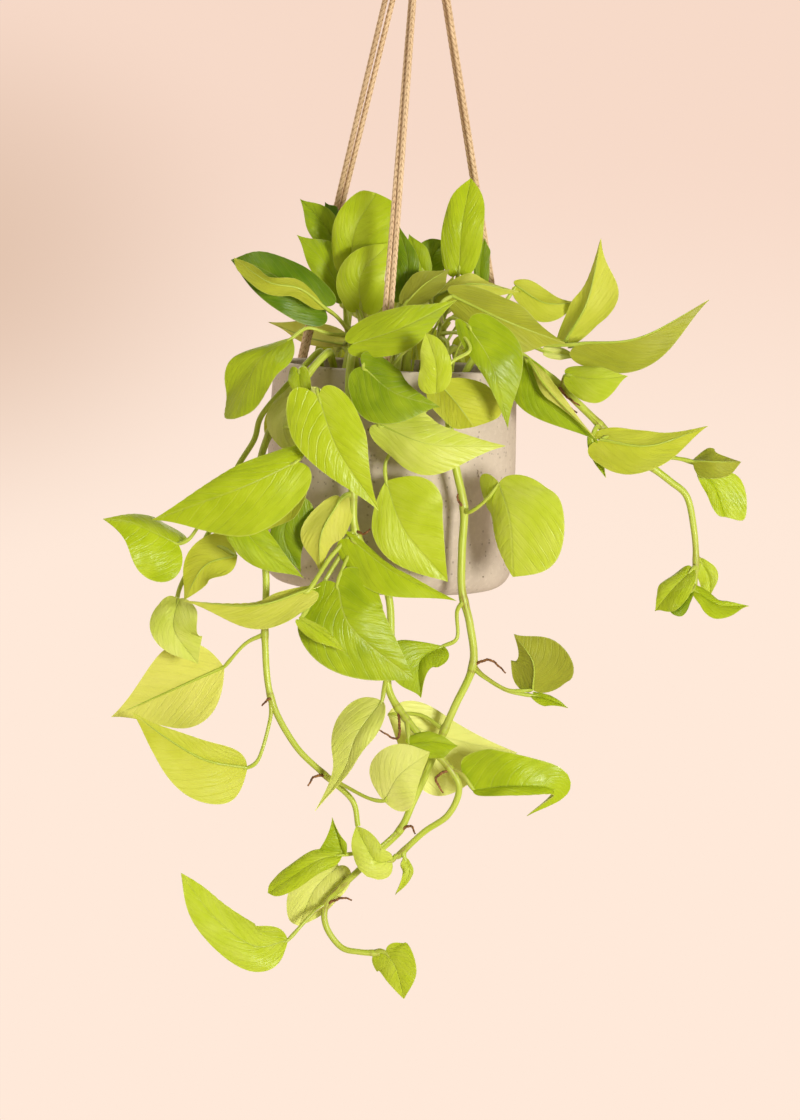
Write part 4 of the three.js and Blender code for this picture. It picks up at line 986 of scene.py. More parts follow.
def grown(name, stem_points, leaves, roots=(), scars_at=(), radius=STEM_RADIUS, shoots=()):
    """One leafy stem as one mesh: the stem, swollen at its joints by a bell curve of the
    distance, then each leaf's stalk, ridge and blade, the aerial roots and the bare shoots."""
    centres = stepped(stem_points, STEM_STEP)
    length = even_lengths(centres)
    nearest = np.min([np.linalg.norm(centres - curve_at(stem_points, share)[0], axis=1)
                      for share in scars_at], axis=0)
    swelling = 1 + 0.2 * np.exp(-(nearest / 4) ** 2)
    radii = radius * (0.94 - 0.26 * (length / length[-1]) ** 3) * swelling
    scars = np.exp(-((nearest - 2.5) / 0.7) ** 2)
    dry = 0.8 * np.exp(-(nearest / 11) ** 2) * (0.5 + 0.5 * np.sin(length / 17))
    parts = [stalk(centres, radii, scars=scars, dry=dry, sides=16)]
    for start, leaf, arm, thick in leaves:
        parts += [petiole(start, leaf, arm, thick), underside_rib(leaf), blade(leaf)]
    parts += [rootlet(start, places) for start, places in roots]
    for shoot in shoots:
        centres = stepped(shoot, STEM_STEP)
        parts.append(stalk(centres, SHOOT_RADIUS, dry=np.full(len(centres), 0.7), sides=8))
    made = piece(name, parts, [leaf_blade, green_stalk, aerial_root])
    made.data.set_sharp_from_angle(angle=math.radians(65))
    return made


def stem_places(root, places):
    """A stem rises upright out of the soil, leans over at the height of the rim and then runs
    through its places."""
    foot = np.array([POT_AXIS_X + root[0], root[1], SOIL_Z])
    start = [foot + [0, 0, rise] for rise in (-21, 1, 9)]
    brow = foot + 0.45 * (places[0] - foot)
    brow[2] = RIM_Z + 4
    return np.array([*start, brow, *places])


def leafy_stem(name, root, route, leaves, roots=(), radius=STEM_RADIUS, shoots=()):
    """A leafy stem read from the photograph. A leaf's at counts the places of the route."""
    points = stem_places(root, seen(route))

    def share(at):
        return (at + STEM_START) / (len(route) + STEM_START - 1)

    def leaf(index, at, rib, sides, arm=None, tone=0.5, stalk=PETIOLE_RADIUS, **shape):
        upward = np.array([0, 1 if shape.get("under") else -1, 0])
        return (curve_at(points, share(at))[0],
                bent_leaf(seen(rib), seen(sides), upward, index, tone, **shape),
                None if arm is None else list(seen(arm)), min(stalk, THICKEST_PETIOLE))

    return grown(
        name, points, [leaf(index, **entry) for index, entry in enumerate(leaves)],
        [(curve_at(points, share(root["at"]))[0], list(seen(root["to"]))) for root in roots],
        [share(entry["at"]) for entry in [*leaves, *roots]], radius=radius,
        shoots=[seen(shoot) for shoot in shoots])


# ---- Left vine ----
# A stem that comes over the rim at the left and bends out from the pot. It carries the two
# broad leaves at the left edge of the plant.
left_vine = leafy_stem(
    "left_vine_growth", root=(-48, -22), radius=2.1,
    route=[(318, 352, -62), (290, 382, -74), (262, 415, -66), (254, 440, -64), (236, 470, -66),
           (215, 520, -70), (198, 552, -72), (181, 585, -74), (176, 604, -76)],
    leaves=[
        dict(at=5, rib=[(178, 544, -82), (155, 533, -84), (130, 522, -84), (103, 519, -80)],
             sides=[(148, 579, -88), (158, 526, -62)], arm=[(205, 518, -80), (190, 538, -82)],
             tone=0.48),
        dict(at=6, rib=[(237, 556, -88), (205, 566, -86), (184, 600, -86)],
             sides=[(212, 533, -82), (213, 576, -96)], fullness=0.6, lobe=0, under=True, tone=0.59),
        dict(at=8, rib=[(178, 600, -84), (174, 630, -98), (198, 664, -104)],
             sides=[(150, 620, -92), (197, 632, -104)], fullness=0.6, lobe=0.1, tone=0.78, fold=0),
    ],
)
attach(left_vine, "root")
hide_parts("left_vine")

# ---- Left hanging stem ----
# A long stem that hangs down the left of the pot, then turns right under it. Its leaves are
# large and pale, some seen from below.
left_hanging_stem = leafy_stem(
    "left_hanging_stem_growth", root=(-38, -40), radius=2.6,
    route=[(326, 354, -72), (294, 392, -84), (270, 432, -82), (259, 470, -82), (260, 520, -84),
           (266, 577, -86), (265, 640, -88), (271, 698, -90), (295, 745, -94), (325, 775, -96),
           (352, 800, -98), (358, 826, -100)],
    leaves=[
        dict(at=0.6, rib=[(299, 371, -92), (301, 388, -104), (309, 407, -106)],
             sides=[(289, 381, -96), (311, 384, -102)], arm=[(304, 368, -84)],
             tone=0.51, fold=0.07),
        dict(at=0.8, rib=[(303, 390, -92), (284, 425, -97), (299, 464, -94)],
             sides=[(268, 408, -90), (318, 425, -96)], tone=0.92, fold=-0.21),
        dict(at=2, rib=[(296, 462, -124), (250, 484, -126), (202, 502, -120), (152, 520, -110)],
             sides=[(246, 465, -116), (256, 530, -118)], arm=[(292, 428, -104), (302, 452, -118)],
             tone=0.47),
        dict(at=4.4, rib=[(224, 500, -104), (258, 546, -108), (304, 578, -106)],
             sides=[(262, 524, -100), (238, 552, -106)], tone=0.37),
        dict(at=3, rib=[(304, 468, -110), (287, 502, -106), (262, 534, -100)],
             sides=[(274, 494, -100), (301, 510, -108)], arm=[(284, 462, -104)], under=True,
             tone=0.31, fold=-0.24),
        dict(at=4, rib=[(296, 500, -94), (284, 535, -94), (301, 573, -94)],
             sides=[(271, 530, -92), (309, 540, -94)], tone=0.21, fold=0),
        dict(at=5.9, rib=[(224, 667, -80), (172, 690, -82), (111, 717, -80)],
             sides=[(172, 645, -80), (196, 726, -90)], arm=[(245, 644, -84)], lobe=0, under=True,
             tone=0.92, fold=-0.07),
        dict(at=7, rib=[(247, 768, -96), (205, 760, -104), (165, 737, -106), (132, 712, -104)],
             sides=[(216, 743, -98), (205, 803, -106)], arm=[(270, 720, -92), (259, 758, -96)],
             lobe=0, under=True, tone=0.63, fold=0),
        dict(at=9, rib=[(384, 801, -120), (400, 774, -128), (430, 752, -130)],
             sides=[(370, 762, -122), (411, 806, -130)], arm=[(345, 786, -104), (368, 798, -114)],
             fullness=0.65, lobe=0, tone=0.9, fold=-0.24),
    ],
    roots=[dict(at=7, to=[(267, 700, -97), (262, 706, -99)]),
           dict(at=9, to=[(314, 777, -104), (308, 786, -108)])],
)
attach(left_hanging_stem, "root")
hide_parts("left_hanging_stem")

# ---- Front stem ----
# The stem that hangs over the front of the pot and curls back to the left at its lower end,
# with brown aerial roots at its joints.
front_stem = leafy_stem(
    "front_stem_growth", root=(-24, -50),
    route=[(352, 356, -84), (349, 385, -93), (350, 440, -94), (353, 495, -95), (355, 530, -96),
           (370, 562, -96), (388, 594, -96), (391, 640, -98), (389, 690, -100), (419, 735, -106),
           (450, 769, -108), (459, 790, -108), (448, 815, -106), (424, 832, -104),
           (398, 856, -102)],
    leaves=[
        dict(at=2, rib=[(319, 398, -126), (338, 450, -134), (379, 511, -130)],
             sides=[(292, 432, -124), (364, 430, -130)], arm=[(335, 425, -106), (318, 390, -120)],
             tone=0.52),
        dict(at=4, rib=[(309, 590, -118), (255, 606, -120), (184, 601, -112)],
             sides=[(275, 597, -112), (272, 629, -126)], arm=[(330, 558, -106)], stalk=2.6,
             under=True, tone=0.72, fold=-0.24),
        dict(at=4.1, rib=[(300, 620, -128), (322, 634, -132), (345, 652, -132)],
             sides=[(325, 629, -130), (313, 640, -134)], arm=[(340, 556, -100), (318, 592, -106)],
             stalk=2.2, tone=0.56, fold=0),
        dict(at=4.4, rib=[(337, 584, -112), (352, 628, -122), (414, 680, -114)],
             sides=[(305, 642, -114), (381, 606, -112)], fullness=0.62, tone=0.35),
        dict(at=3, rib=[(340, 500, -100), (321, 535, -108), (320, 574, -104)],
             sides=[(303, 526, -102), (344, 534, -102)], under=True, tone=0.75, fold=-0.14),
        dict(at=4.2, rib=[(352, 540, -102), (395, 573, -114), (457, 601, -116)],
             sides=[(381, 557, -108), (364, 586, -112)], tone=0.44, fold=0),
        dict(at=7.7, rib=[(382, 701, -108), (357, 735, -114), (343, 772, -116), (315, 811, -114)],
             sides=[(336, 717, -106), (372, 736, -122)], fullness=0.42, lobe=0,
             tone=0.8, fold=-0.24),
        dict(at=8.6, rib=[(409, 744, -110), (432, 742, -112), (458, 746, -110)],
             sides=[(428, 733, -108), (440, 758, -114)], tone=0.36),
        dict(at=10, rib=[(474, 790, -112), (515, 786, -120), (553, 791, -116), (527, 816, -108)],
             sides=[(480, 750, -110), (504, 796, -128)], fullness=0.5, lobe=0,
             tone=0.42, fold=-0.07),
        dict(at=13.8, rib=[(404, 856, -104), (409, 874, -106), (395, 895, -104)],
             sides=[(402, 869, -104), (411, 868, -104)], lobe=-0.1, tone=0.62),
        dict(at=14, rib=[(392, 861, -106), (376, 861, -112), (366, 846, -110), (356, 826, -106)],
             sides=[(376, 879, -110), (380, 848, -112)], fullness=0.8, lobe=0,
             tone=0.7, fold=0.1),
    ],
    roots=[dict(at=4, to=[(364, 534, -104), (370, 529, -106)]),
           dict(at=8.4, to=[(398, 738, -114), (379, 730, -114)]),
           dict(at=10, to=[(436, 778, -112), (443, 793, -114)])],
)
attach(front_stem, "root")
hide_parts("front_stem")

# ---- Centre right vine ----
# The longest stem: down the front right of the pot, back to the left below it, and round to
# a last young leaf at the lowest point of the plant.
centre_right_vine = leafy_stem(
    "centre_right_vine_growth", root=(28, -50),
    route=[(436, 360, -84), (444, 390, -92), (450, 430, -94), (456, 468, -94), (464, 508, -92),
           (462, 550, -92), (462, 590, -92), (470, 625, -92), (473, 665, -92), (455, 706, -92),
           (440, 740, -92), (425, 776, -92), (413, 802, -92), (400, 830, -92), (378, 852, -92),
           (357, 872, -92), (340, 888, -92), (326, 904, -92), (326, 926, -94), (341, 947, -96),
           (360, 952, -98), (380, 953, -98)],
    leaves=[
        dict(at=1, rib=[(386, 481, -102), (404, 530, -108), (448, 582, -104)],
             sides=[(377, 540, -104), (441, 496, -104)], arm=[(400, 440, -100), (386, 462, -100)],
             fullness=0.6, lobe=0, tone=0.56),
        dict(at=4, rib=[(499, 483, -104), (510, 522, -114), (513, 577, -110)],
             sides=[(490, 505, -92), (563, 510, -116)], arm=[(470, 512, -98), (486, 500, -102)],
             fullness=0.75, tone=0.62),
        dict(at=6.3, rib=[(443, 646, -102), (420, 662, -108), (421, 698, -106)],
             sides=[(391, 647, -106), (441, 668, -112)], arm=[(457, 612, -98), (457, 638, -102)],
             lobe=0, tone=0.35),
        dict(at=8, rib=[(533, 690, -96), (533, 662, -102), (514, 634, -98)],
             sides=[(511, 662, -92), (574, 668, -104)], arm=[(484, 676, -94), (508, 690, -96)],
             under=True, tone=0.14, fold=-0.05, brown=1),
        dict(at=8.05, rib=[(535, 696, -94), (550, 700, -97), (568, 708, -98)],
             sides=[(546, 696, -93), (544, 706, -99)], arm=[(484, 677, -94), (508, 691, -95)],
             tone=0.44),
        dict(at=9.7, rib=[(388, 714, -80), (440, 736, -78), (518, 753, -80)],
             sides=[(428, 705, -76), (432, 795, -84)], arm=[(420, 715, -84)], lobe=0,
             tone=1.05, fold=0),
        dict(at=13, rib=[(343, 854, -104), (338, 836, -107), (332, 817, -104)],
             sides=[(318, 853, -104), (347, 846, -108)], arm=[(375, 850, -98), (358, 853, -101)],
             fullness=0.4, lobe=0, tone=0.36, fold=0),
        dict(at=16, rib=[(338, 866, -82), (314, 890, -84), (299, 926, -84)],
             sides=[(293, 884, -82), (338, 900, -88)], arm=[(345, 876, -84)], fullness=0.7,
             tone=0.92, fold=0.03),
        dict(at=17, rib=[(288, 940, -104), (254, 946, -112), (213, 916, -110), (181, 873, -102)],
             sides=[(254, 927, -100), (249, 971, -116)], arm=[(312, 914, -96)], fullness=0.7,
             lobe=0, tone=0.6, fold=0.14),
        dict(at=20.7, rib=[(386, 953, -100), (396, 968, -104), (404, 999, -102)],
             sides=[(376, 972, -98), (409, 947, -108)], fullness=0.65, tone=0.54, fold=-0.14),
        dict(at=13, rib=[(342, 855, -106), (317, 861, -112), (292, 877, -112), (268, 893, -108)],
             sides=[(311, 852, -106), (319, 874, -116)], arm=[(375, 850, -98), (358, 853, -101)],
             fullness=0.85, lobe=0, tone=0.53, fold=0.1),
    ],
    roots=[dict(at=8, to=[(490, 660, -98), (506, 673, -102)]),
           dict(at=4, to=[(458, 500, -98), (458, 494, -100)]),
           dict(at=13, to=[(411, 826, -97), (415, 834, -99)]),
           dict(at=17, to=[(342, 898, -98), (352, 900, -100)])],
)
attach(centre_right_vine, "root")
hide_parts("centre_right_vine")

# ---- Right vine ----
# A stem that arches out to the right over the rim and ends in four young leaves. The pale edge
# of its first, dark leaf is rolled up, in a strip of its own.
right_vine = leafy_stem(
    "right_vine_growth", root=(56, -18),
    route=[(505, 350, -30), (522, 357, -32), (542, 371, -34), (562, 388, -36), (590, 415, -38),
           (614, 438, -40), (645, 462, -42), (670, 481, -42), (687, 497, -42), (694, 530, -42),
           (696, 560, -42), (694, 587, -42)],
    leaves=[
        dict(at=1, rib=[(525, 358, -42), (540, 396, -52), (596, 440, -58)],
             sides=[(511, 393, -46), (553, 388, -50)], arm=[(519, 356, -37)],
             fullness=0.55, lobe=0, tone=0.3, fold=0.1),
        dict(at=3, rib=[(567, 375, -54), (595, 379, -66), (628, 376, -68)],
             sides=[(592, 403, -70), (597, 367, -62)], arm=[(564, 378, -44)], tone=0.59, fold=0),
        dict(at=5, rib=[(600, 440, -48), (650, 446, -54), (708, 426, -50)],
             sides=[(642, 431, -46), (624, 474, -62)], arm=[(606, 437, -46)],
             under=True, tone=0.58, fold=-0.07),
        dict(at=4.4, rib=[(592, 438, -46), (597, 457, -48), (606, 478, -48)],
             sides=[(590, 452, -46), (602, 454, -48)], tone=0.34),
        dict(at=6.2, rib=[(692, 461, -48), (716, 462, -56), (741, 462, -50)],
             sides=[(711, 448, -44), (706, 478, -58)], arm=[(668, 458, -46)], fullness=0.72,
             lobe=0, under=True, tone=0.17, fold=0.1),
        dict(at=10.3, rib=[(692, 570, -48), (672, 590, -54), (655, 611, -54)],
             sides=[(664, 586, -46), (681, 608, -62)], tone=0.55),
        dict(at=10, rib=[(700, 560, -38), (709, 577, -36), (710, 598, -36)],
             sides=[(701, 584, -38), (717, 572, -38)], tone=0.61, fold=-0.24),
        dict(at=11, rib=[(694, 590, -48), (718, 605, -54), (749, 606, -52)],
             sides=[(713, 598, -48), (712, 619, -60)], tone=0.45),
        dict(at=11, rib=[(693, 590, -54), (682, 602, -60), (668, 609, -60)],
             sides=[(674, 594, -56), (684, 614, -66)], tone=0.23, fold=-0.07),
        dict(at=6.2, rib=[(696, 464, -42), (714, 486, -40), (725, 517, -40)],
             sides=[(704, 489, -42), (741, 480, -36)], arm=[(668, 457, -42)], fullness=0.85,
             lobe=0, tone=0.5, fold=0),
        dict(at=1, rib=[(529, 359, -52), (549, 390, -64), (596, 439, -64)],
             sides=[(540, 391, -60), (556, 386, -64)], arm=[(519, 356, -37)], stalk=0.7,
             lobe=0, under=True, tone=0.85, fold=0),
    ],
    roots=[dict(at=2.6, to=[(560, 398, -42), (577, 413, -44)]),
           dict(at=2.8, to=[(566, 396, -44), (580, 406, -46)])],
)
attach(right_vine, "root")
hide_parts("right_vine")

# ---- Right spray ----
# Leaves on long stalks that stand out to the right, over the rim beside the right rope.
right_spray = leafy_stem(
    "right_spray_growth", root=(44, -2),
    route=[(484, 346, -12), (496, 336, -16)],
    leaves=[
        dict(at=1, rib=[(579, 344, -42), (640, 338, -50), (709, 300, -44)],
             sides=[(622, 345, -18), (626, 373, -50)], arm=[(545, 345, -34)], fullness=0.55,
             under=True, tone=0.21, fold=0),
        dict(at=0.8, rib=[(565, 342, -26), (588, 300, -32), (601, 238, -26)],
             sides=[(569, 306, -22), (617, 303, -34)], arm=[(540, 340, -22)], under=True,
             tone=0.66, fold=0.1),
        dict(at=0.3, rib=[(516, 286, -12), (545, 303, -16), (580, 303, -14)],
             sides=[(547, 290, -8), (536, 320, -22)], arm=[(497, 316, -14)], under=True,
             tone=0.6, fold=0),
        dict(at=0.6, rib=[(546, 352, -24), (562, 354, -25), (580, 358, -24)],
             sides=[(556, 347, -23), (556, 360, -26)], arm=[(530, 346, -20)], tone=0.92),
    ],
)
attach(right_spray, "root")
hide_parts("right_spray")

# ---- Crown right front ----
# Leaves that come forward over the rim between the front rope and the right one. One of them
# stands up from a stalk that loops down in front of the rim.
crown_right_front = leafy_stem(
    "crown_right_front_growth", root=(30, -26),
    route=[(440, 344, -62), (444, 326, -72)],
    leaves=[
        dict(at=1, rib=[(468, 326, -116), (492, 366, -126), (508, 428, -120)],
             sides=[(470, 356, -122), (518, 346, -114)], arm=[(452, 318, -90)], tone=0.32),
        dict(at=0.4, rib=[(440, 384, -106), (458, 405, -110), (474, 427, -108)],
             sides=[(434, 410, -106), (492, 390, -106)], arm=[(448, 345, -96), (442, 368, -104)],
             fullness=0.9, under=True, tone=0.42, fold=0),
        dict(at=0.6, rib=[(436, 393, -134), (436, 364, -142), (426, 333, -138)],
             sides=[(419, 378, -134), (452, 372, -140)],
             arm=[(460, 334, -112), (470, 350, -126), (450, 364, -128)], fullness=0.75,
             lobe=0, tone=0.6, fold=0.1),
        dict(at=1, rib=[(452, 296, -58), (508, 322, -62), (567, 344, -54)],
             sides=[(510, 299, -52), (502, 350, -62)], arm=[(440, 306, -62)], under=True,
             tone=0.21, fold=0),
    ],
)
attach(crown_right_front, "root")
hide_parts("crown_right_front")

# ---- Crown front ----
# Three leaves that lie across the front of the pot's mouth.
crown_front = leafy_stem(
    "crown_front_growth", root=(8, -44),
    route=[(408, 350, -62), (410, 340, -72)],
    leaves=[
        dict(at=1, rib=[(353, 344, -98), (402, 328, -108), (457, 300, -100)],
             sides=[(392, 309, -98), (402, 353, -112)], arm=[(398, 338, -90), (372, 342, -95)],
             tone=0.44, fold=0.05),
        dict(at=0.7, rib=[(363, 367, -110), (395, 393, -118), (440, 407, -116)],
             sides=[(396, 367, -106), (364, 418, -120)], arm=[(394, 350, -92), (372, 353, -100)],
             tone=0.23, fold=0),
        dict(at=0.3, rib=[(378, 424, -112), (430, 444, -122), (506, 446, -114)],
             sides=[(424, 414, -110), (418, 474, -120)], arm=[(392, 366, -94), (374, 396, -102)],
             tone=0.72, fold=0),
    ],
)
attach(crown_front, "root")
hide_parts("crown_front")

# ---- Crown front left ----
# Two leaves at the left of the mouth, a dark one that stands out over the rim and one that
# hangs. The near edge of the dark one is rolled over, in a strip of its own.
crown_front_left = leafy_stem(
    "crown_front_left_growth", root=(-26, -30),
    route=[(352, 348, -58), (350, 332, -60)],
    leaves=[
        dict(at=1, rib=[(322, 306, -66), (292, 286, -72), (256, 266, -68), (231, 260, -60)],
             sides=[(304, 271, -58), (282, 314, -76)], arm=[(336, 316, -64)], fullness=0.6,
             tone=0.07),
        dict(at=0.8, rib=[(292, 338, -78), (258, 362, -86), (234, 419, -84)],
             sides=[(228, 366, -74), (281, 372, -96)], arm=[(330, 334, -68), (308, 328, -74)],
             fullness=0.8, lobe=0, tone=0.45, fold=0.07),
        dict(at=1, rib=[(326, 309, -78), (300, 289, -88), (268, 282, -90), (234, 258, -74)],
             sides=[(298, 281, -86), (293, 297, -90)], arm=[(336, 316, -68)], stalk=0.8,
             fullness=0.9, lobe=0, under=True, tone=0.35, fold=-0.3),
    ],
)
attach(crown_front_left, "root")
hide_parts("crown_front_left")

# ---- Crown middle ----
# Upright leaves in the middle of the crown, between the ropes, the largest one folded along
# its midrib, and a tuft of thin leafless shoots in the pot's mouth.
crown_middle = leafy_stem(
    "crown_middle_growth", root=(-14, -8),
    route=[(372, 346, -22), (368, 326, -26)],
    leaves=[
        dict(at=1, rib=[(361, 307, -32), (361, 275, -38), (389, 243, -32)],
             sides=[(338, 281, -30), (385, 284, -36)], fullness=0.65, tone=0.53),
        dict(at=0.7, rib=[(350, 268, -16), (355, 230, -22), (376, 193, -16)],
             sides=[(337, 234, -14), (388, 233, -20)], arm=[(358, 305, -20)], fullness=0.84,
             tone=0.48, fold=0.6),
        dict(at=0.4, rib=[(402, 299, -22), (408, 262, -26), (396, 221, -20)],
             sides=[(395, 262, -20), (418, 270, -24)], arm=[(394, 324, -22)], tone=0.16),
        dict(at=0.5, rib=[(405, 304, -40), (425, 284, -44), (450, 269, -42)],
             sides=[(412, 277, -38), (441, 290, -46)], arm=[(396, 326, -34)],
             under=True, tone=0.06, fold=-0.24),
    ],
    shoots=[[(386, 396, -30), (392, 366, -36), (394, 340, -40), (384, 300, -34)],
            [(398, 396, -24), (403, 362, -30), (409, 336, -34), (420, 306, -28)],
            [(409, 396, -34), (413, 364, -44), (416, 342, -48), (424, 318, -44)],
            [(417, 396, -20), (421, 362, -28), (430, 338, -34), (444, 312, -38)],
            [(426, 396, -32), (429, 366, -42), (434, 346, -48), (450, 322, -52)],
            [(436, 396, -22), (440, 362, -30), (447, 342, -36), (462, 318, -34)],
            [(450, 396, -16), (454, 360, -24), (462, 340, -28), (474, 316, -22)],
            [(378, 396, -36), (372, 366, -42), (364, 340, -40), (356, 306, -30)]],
)
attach(crown_middle, "root")
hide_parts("crown_middle")

# ---- Crown back left ----
# Leaves that stand at the back left of the crown, darker: partly their own deep green, partly
# painted shade.
crown_back_left = leafy_stem(
    "crown_back_left_growth", root=(-34, 10),
    route=[(352, 346, 8), (346, 322, 4)],
    leaves=[
        dict(at=1, rib=[(343, 298, -6), (324, 262, -12), (297, 235, -6)],
             sides=[(335, 248, -4), (312, 272, -14)], tone=0.33, fold=0),
        dict(at=0.8, rib=[(339, 250, 8), (322, 222, 4), (300, 199, 10)],
             sides=[(334, 216, 8), (310, 234, 4)], arm=[(348, 290, 6)], tone=0.26),
        dict(at=0.7, rib=[(341, 252, 18), (334, 226, 16), (325, 202, 18)],
             sides=[(322, 228, 16), (341, 212, 18)], arm=[(352, 290, 14)], tone=0.05, fold=-0.24),
        dict(at=0.5, rib=[(344, 344, 46), (310, 338, 60), (268, 322, 62)],
             sides=[(314, 322, 60), (310, 347, 64)], arm=[(350, 338, 24)], under=True, tone=0.92),
    ],
)
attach(crown_back_left, "root")
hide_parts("crown_back_left")

# ---- Crown back right ----
# Leaves that stand at the back right of the crown, the tallest one among them, darker: partly their
# own deep green, partly painted shade.
crown_back_right = leafy_stem(
    "crown_back_right_growth", root=(26, 12),
    route=[(438, 346, 10), (442, 322, 4)],
    leaves=[
        dict(at=1, rib=[(459, 271, -8), (462, 226, -14), (471, 178, -6)],
             sides=[(443, 232, -8), (483, 232, -14)], arm=[(452, 296, -2)], fullness=0.68,
             tone=0.49),
        dict(at=0.9, rib=[(436, 296, -30), (472, 284, -36), (521, 292, -30)],
             sides=[(462, 271, -26), (476, 302, -40)], arm=[(436, 308, -20)], under=True,
             tone=0.71, fold=0.35),
        dict(at=0.8, rib=[(424, 273, 4), (416, 253, 2), (409, 234, 6)],
             sides=[(409, 256, 4), (428, 252, 4)], arm=[(430, 300, 4)], tone=0.33),
        dict(at=0.8, rib=[(428, 270, 14), (434, 254, 12), (446, 240, 16)],
             sides=[(419, 246, 12), (447, 262, 14)], arm=[(434, 300, 10)], tone=0.22),
        dict(at=0.9, rib=[(480, 288, 6), (481, 262, 4), (485, 238, 6)],
             sides=[(474, 262, 4), (489, 260, 6)], arm=[(462, 310, 6)], tone=0.2),
    ],
)
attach(crown_back_right, "root")
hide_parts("crown_back_right")

# ---- Back stems ----
# Three stems, guessed, that hang down the far side of the pot. Their leaves stand alternately
# to the left and right with the upper face turned outward.
BACK_ROOT_RADIUS = 52
BACK_LEAF_LENGTH = 70
BACK_LEAF_HALF_WIDTH = 22
BACK_TONE = 0.45


def polar(azimuth, radius, height):
    return level(azimuth) * radius + [POT_AXIS_X, 0, height]


def back_leaf(base, outward, tipward, length, half_width, index, tone):
    """A leaf whose midrib bulges outward by an eighth of its length, with its sides turned
    back a little from the widest place."""
    across_it = unit(np.cross(tipward, outward))
    rib = [base, base + 0.5 * length * tipward + 0.12 * length * outward, base + length * tipward]
    sides = [base + WIDEST_Y * length * tipward + way * half_width * across_it
             - 0.02 * length * outward for way in (-1, 1)]
    return bent_leaf(rib, sides, outward, index, tone)


def back_stem(name, azimuth, drop, hang_radius):
    """Over the rim and straight down, with three leaves evenly spaced along the lower half."""
    root = polar(azimuth, BACK_ROOT_RADIUS, 0)
    points = stem_places((root[0] - POT_AXIS_X, root[1]), np.array([
        polar(azimuth, RIM_RADIUS - 4, RIM_Z + 9),
        polar(azimuth, hang_radius - 2, RIM_Z - 6),
        polar(azimuth, hang_radius, RIM_Z - drop / 2),
        polar(azimuth, hang_radius + 1, RIM_Z - drop)]))
    outward, sideways, shares = level(azimuth), level(azimuth + 90), (0.6, 0.8, 1.0)
    leaves = []
    for index, share in enumerate(shares):
        way = index % 2 * 2 - 1
        start = curve_at(points, share)[0]
        base = start + outward * (12 + 4 * index) + sideways * way * 9 + [0, 0, 4]
        tipward = unit(sideways * 0.22 * way + outward * 0.3 - [0, 0, 1])
        length = BACK_LEAF_LENGTH * (1 - 0.1 * index)
        leaf = back_leaf(base, outward, tipward, length, BACK_LEAF_HALF_WIDTH, index, BACK_TONE)
        leaves.append((start, leaf, None, PETIOLE_RADIUS))
    return grown(name, points, leaves, scars_at=shares)


for node, azimuth, drop, hang_radius in (("back_left_stem", 120, 104, 90),
                                         ("back_middle_stem", 88, 92, 106),
                                         ("back_right_stem", 58, 96, 90)):
    back = back_stem(f"{node}_growth", azimuth, drop, hang_radius)
    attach(back, "root")
    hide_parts(node)

# ---- Back of the crown ----
# Three leaves, guessed, that fan out behind the crown between the ropes.
FAN_STALK = 26
FAN_TONE = 0.3


def crown_fan(name, root, fan):
    """A short stem up to the rim, and a leaf at each azimuth that leans out by its own slope."""
    x, y = root
    points = stem_places(root, np.array([[POT_AXIS_X + x, y, RIM_Z + 14]], float))
    start = points[-1]
    leaves = []
    for index, (azimuth, lean, length) in enumerate(fan):
        outward, up = level(azimuth), np.array([0, 0, 1.0])
        tipward, upper = unit(up + lean * outward), unit(outward - lean * up)
        leaf = back_leaf(start + FAN_STALK * tipward, upper, tipward, length, 0.34 * length,
                         index, FAN_TONE)
        leaves.append((start, leaf, None, PETIOLE_RADIUS))
    return grown(name, points, leaves, scars_at=[1.0])


crown_back = crown_fan("crown_back_growth", (-4, 30), [(114, 1.5, 60), (84, 1.3, 62),
                                                       (54, 1.6, 58)])
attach(crown_back, "root")
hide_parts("crown_back")

# ---- Room ----
# A plain pale floor that curves up into a wall all round, far from the plant. It glows with a
# painted soft gradient, darker higher up, and a darker patch of painted shade, which only the
# camera sees. The lamps and the daylight light the plant.
FLOOR_Z = -1.15
ROOM_SEGMENTS = 96
SHADE_PLACE = (-1.3, 8.0, -0.61)
SHADE_STRETCH = (1.0, 0.3, 1.25)

glowing_backdrop, tree, shader, place = finish_of("glowing_backdrop", 0.9, 0.0)
# Painted light: the glow is darker higher up.
peach = tint(tree, ramp(tree, split(tree, place)[2], FLOOR_Z, -0.1), rgb(1.0, 0.815, 0.695),
             rgb(0.93, 0.70, 0.58))
away = put(tree, "VectorMath", {0: place, 1: SHADE_PLACE}, operation="SUBTRACT").outputs[0]
away = put(tree, "VectorMath", {0: away, 1: SHADE_STRETCH}, operation="MULTIPLY").outputs[0]
away = put(tree, "VectorMath", {0: away}, operation="LENGTH").outputs[1]
# Painted shade: a darker patch of the glow round the shade place.
peach = tint(tree, ramp(tree, away, 1.15, 0.1), peach, rgb(0.72, 0.51, 0.385))
feed(tree, shader, {"Base Color": rgb(0, 0, 0), "Emission Color": peach, "Emission Strength": 1})


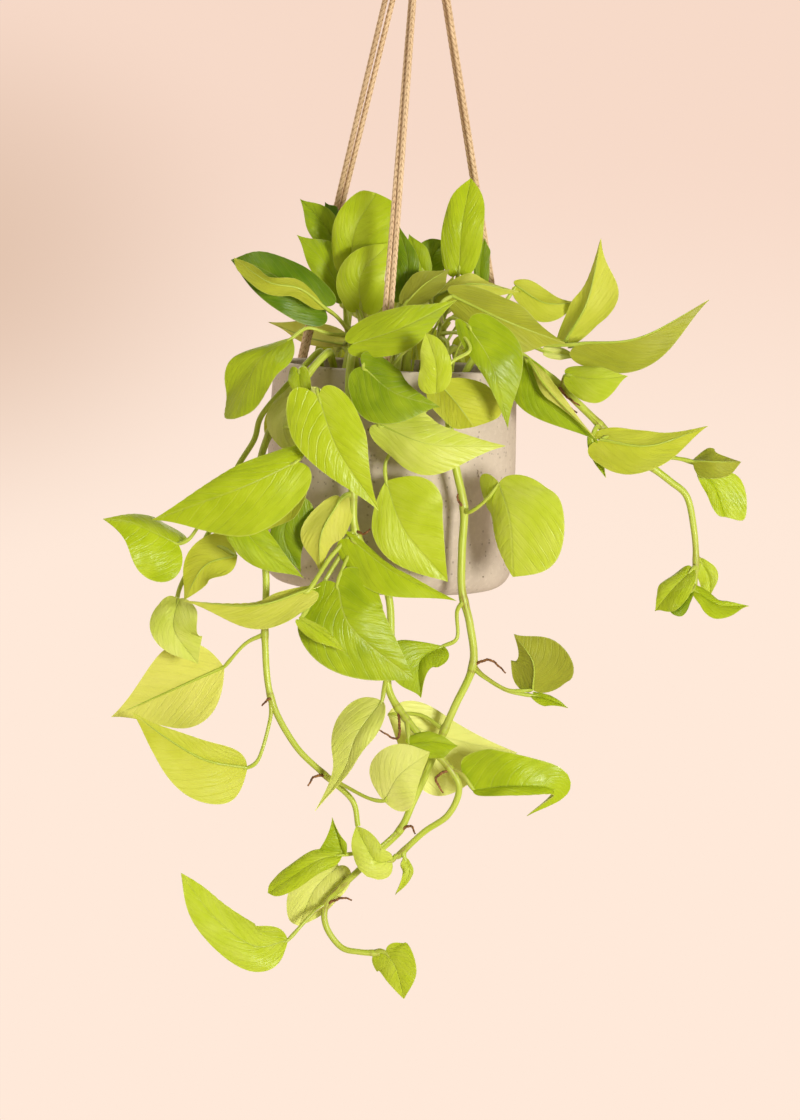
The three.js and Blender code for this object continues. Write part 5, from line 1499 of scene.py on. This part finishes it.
def room(floor_z, flat_radius, wall_radius, wall_height):
    """A profile turned about Z, in metres: a flat floor, a quarter circle and an upright wall."""
    bend = np.linspace(0, np.pi / 2, 24)
    rise = wall_radius - flat_radius
    radius = np.concatenate([np.linspace(1e-4, flat_radius, 12)[:-1],
                             flat_radius + rise * np.sin(bend), [wall_radius]])
    height = np.concatenate([np.full(11, floor_z), floor_z + rise * (1 - np.cos(bend)),
                             [floor_z + wall_height]])
    angle = full_turn(ROOM_SEGMENTS)[:, None]
    points = np.stack([radius * np.cos(angle), radius * np.sin(angle),
                       np.broadcast_to(height, (ROOM_SEGMENTS, len(radius)))], axis=-1)
    return {"points": 1000 * points.reshape(-1, 3),
            "quads": grid_quads(ROOM_SEGMENTS, len(radius), closed_rows=True, flipped=True)}


floor = piece("floor", [room(FLOOR_Z, 5.0, 8.5, 8.0)], [glowing_backdrop])
floor.visible_diffuse = floor.visible_glossy = floor.visible_transmission = False
floor.visible_shadow = False

# ---- Light ----
# A soft key light stands right of the viewer at the height of the pot, a wide fill faces it
# from the left, one lamp shines down from above, and one behind keeps the far side readable.
# The daylight is bright behind the plant and below it, and dim towards the viewer and overhead.
AIM = Vector((0, 0, -0.42))


def lamp(name, place, size, power, colour):
    """A round lamp that faces the plant and isn't seen itself. Places are in metres."""
    light = bpy.data.lights.new(name, "AREA")
    light.shape, light.size, light.energy, light.color = "DISK", size, power, colour
    held = bpy.data.objects.new(name, light)
    held.location = place
    held.rotation_euler = (AIM - Vector(place)).to_track_quat("-Z", "Y").to_euler()
    held.visible_camera = False
    bpy.context.scene.collection.objects.link(held)


lamp("key", (1.25, -2.35, -0.35), 0.7, 68, (1.0, 0.97, 0.90))
lamp("fill", (-2.4, -1.9, 0.4), 2.2, 7, (1.0, 0.98, 0.92))
lamp("top", (-0.5, -0.5, 2.4), 0.9, 22, (1.0, 0.99, 0.95))
lamp("back", (-0.6, 2.9, 0.5), 2.2, 16, (1.0, 0.97, 0.93))
daylight = bpy.data.worlds.new("daylight")
daylight.use_nodes = True
tree = daylight.node_tree
_, backward, upward = split(tree, put(tree, "TexCoord").outputs["Generated"])
wall = ramp(tree, backward, -0.7, 0.18, 0.14, 0.97)
below = ramp(tree, upward, -0.1, -0.4)
wall = reckon(tree, "ADD", wall, times(tree, below, reckon(tree, "SUBTRACT", 0.8, wall)))
wall = times(tree, wall, ramp(tree, upward, 0.6, 0.75, 1.0, 0.15))
feed(tree, tree.nodes["Background"], {"Color": rgb(0.98, 0.79, 0.66), "Strength": wall})
bpy.context.scene.world = daylight
bpy.context.scene.view_settings.view_transform = "Standard"
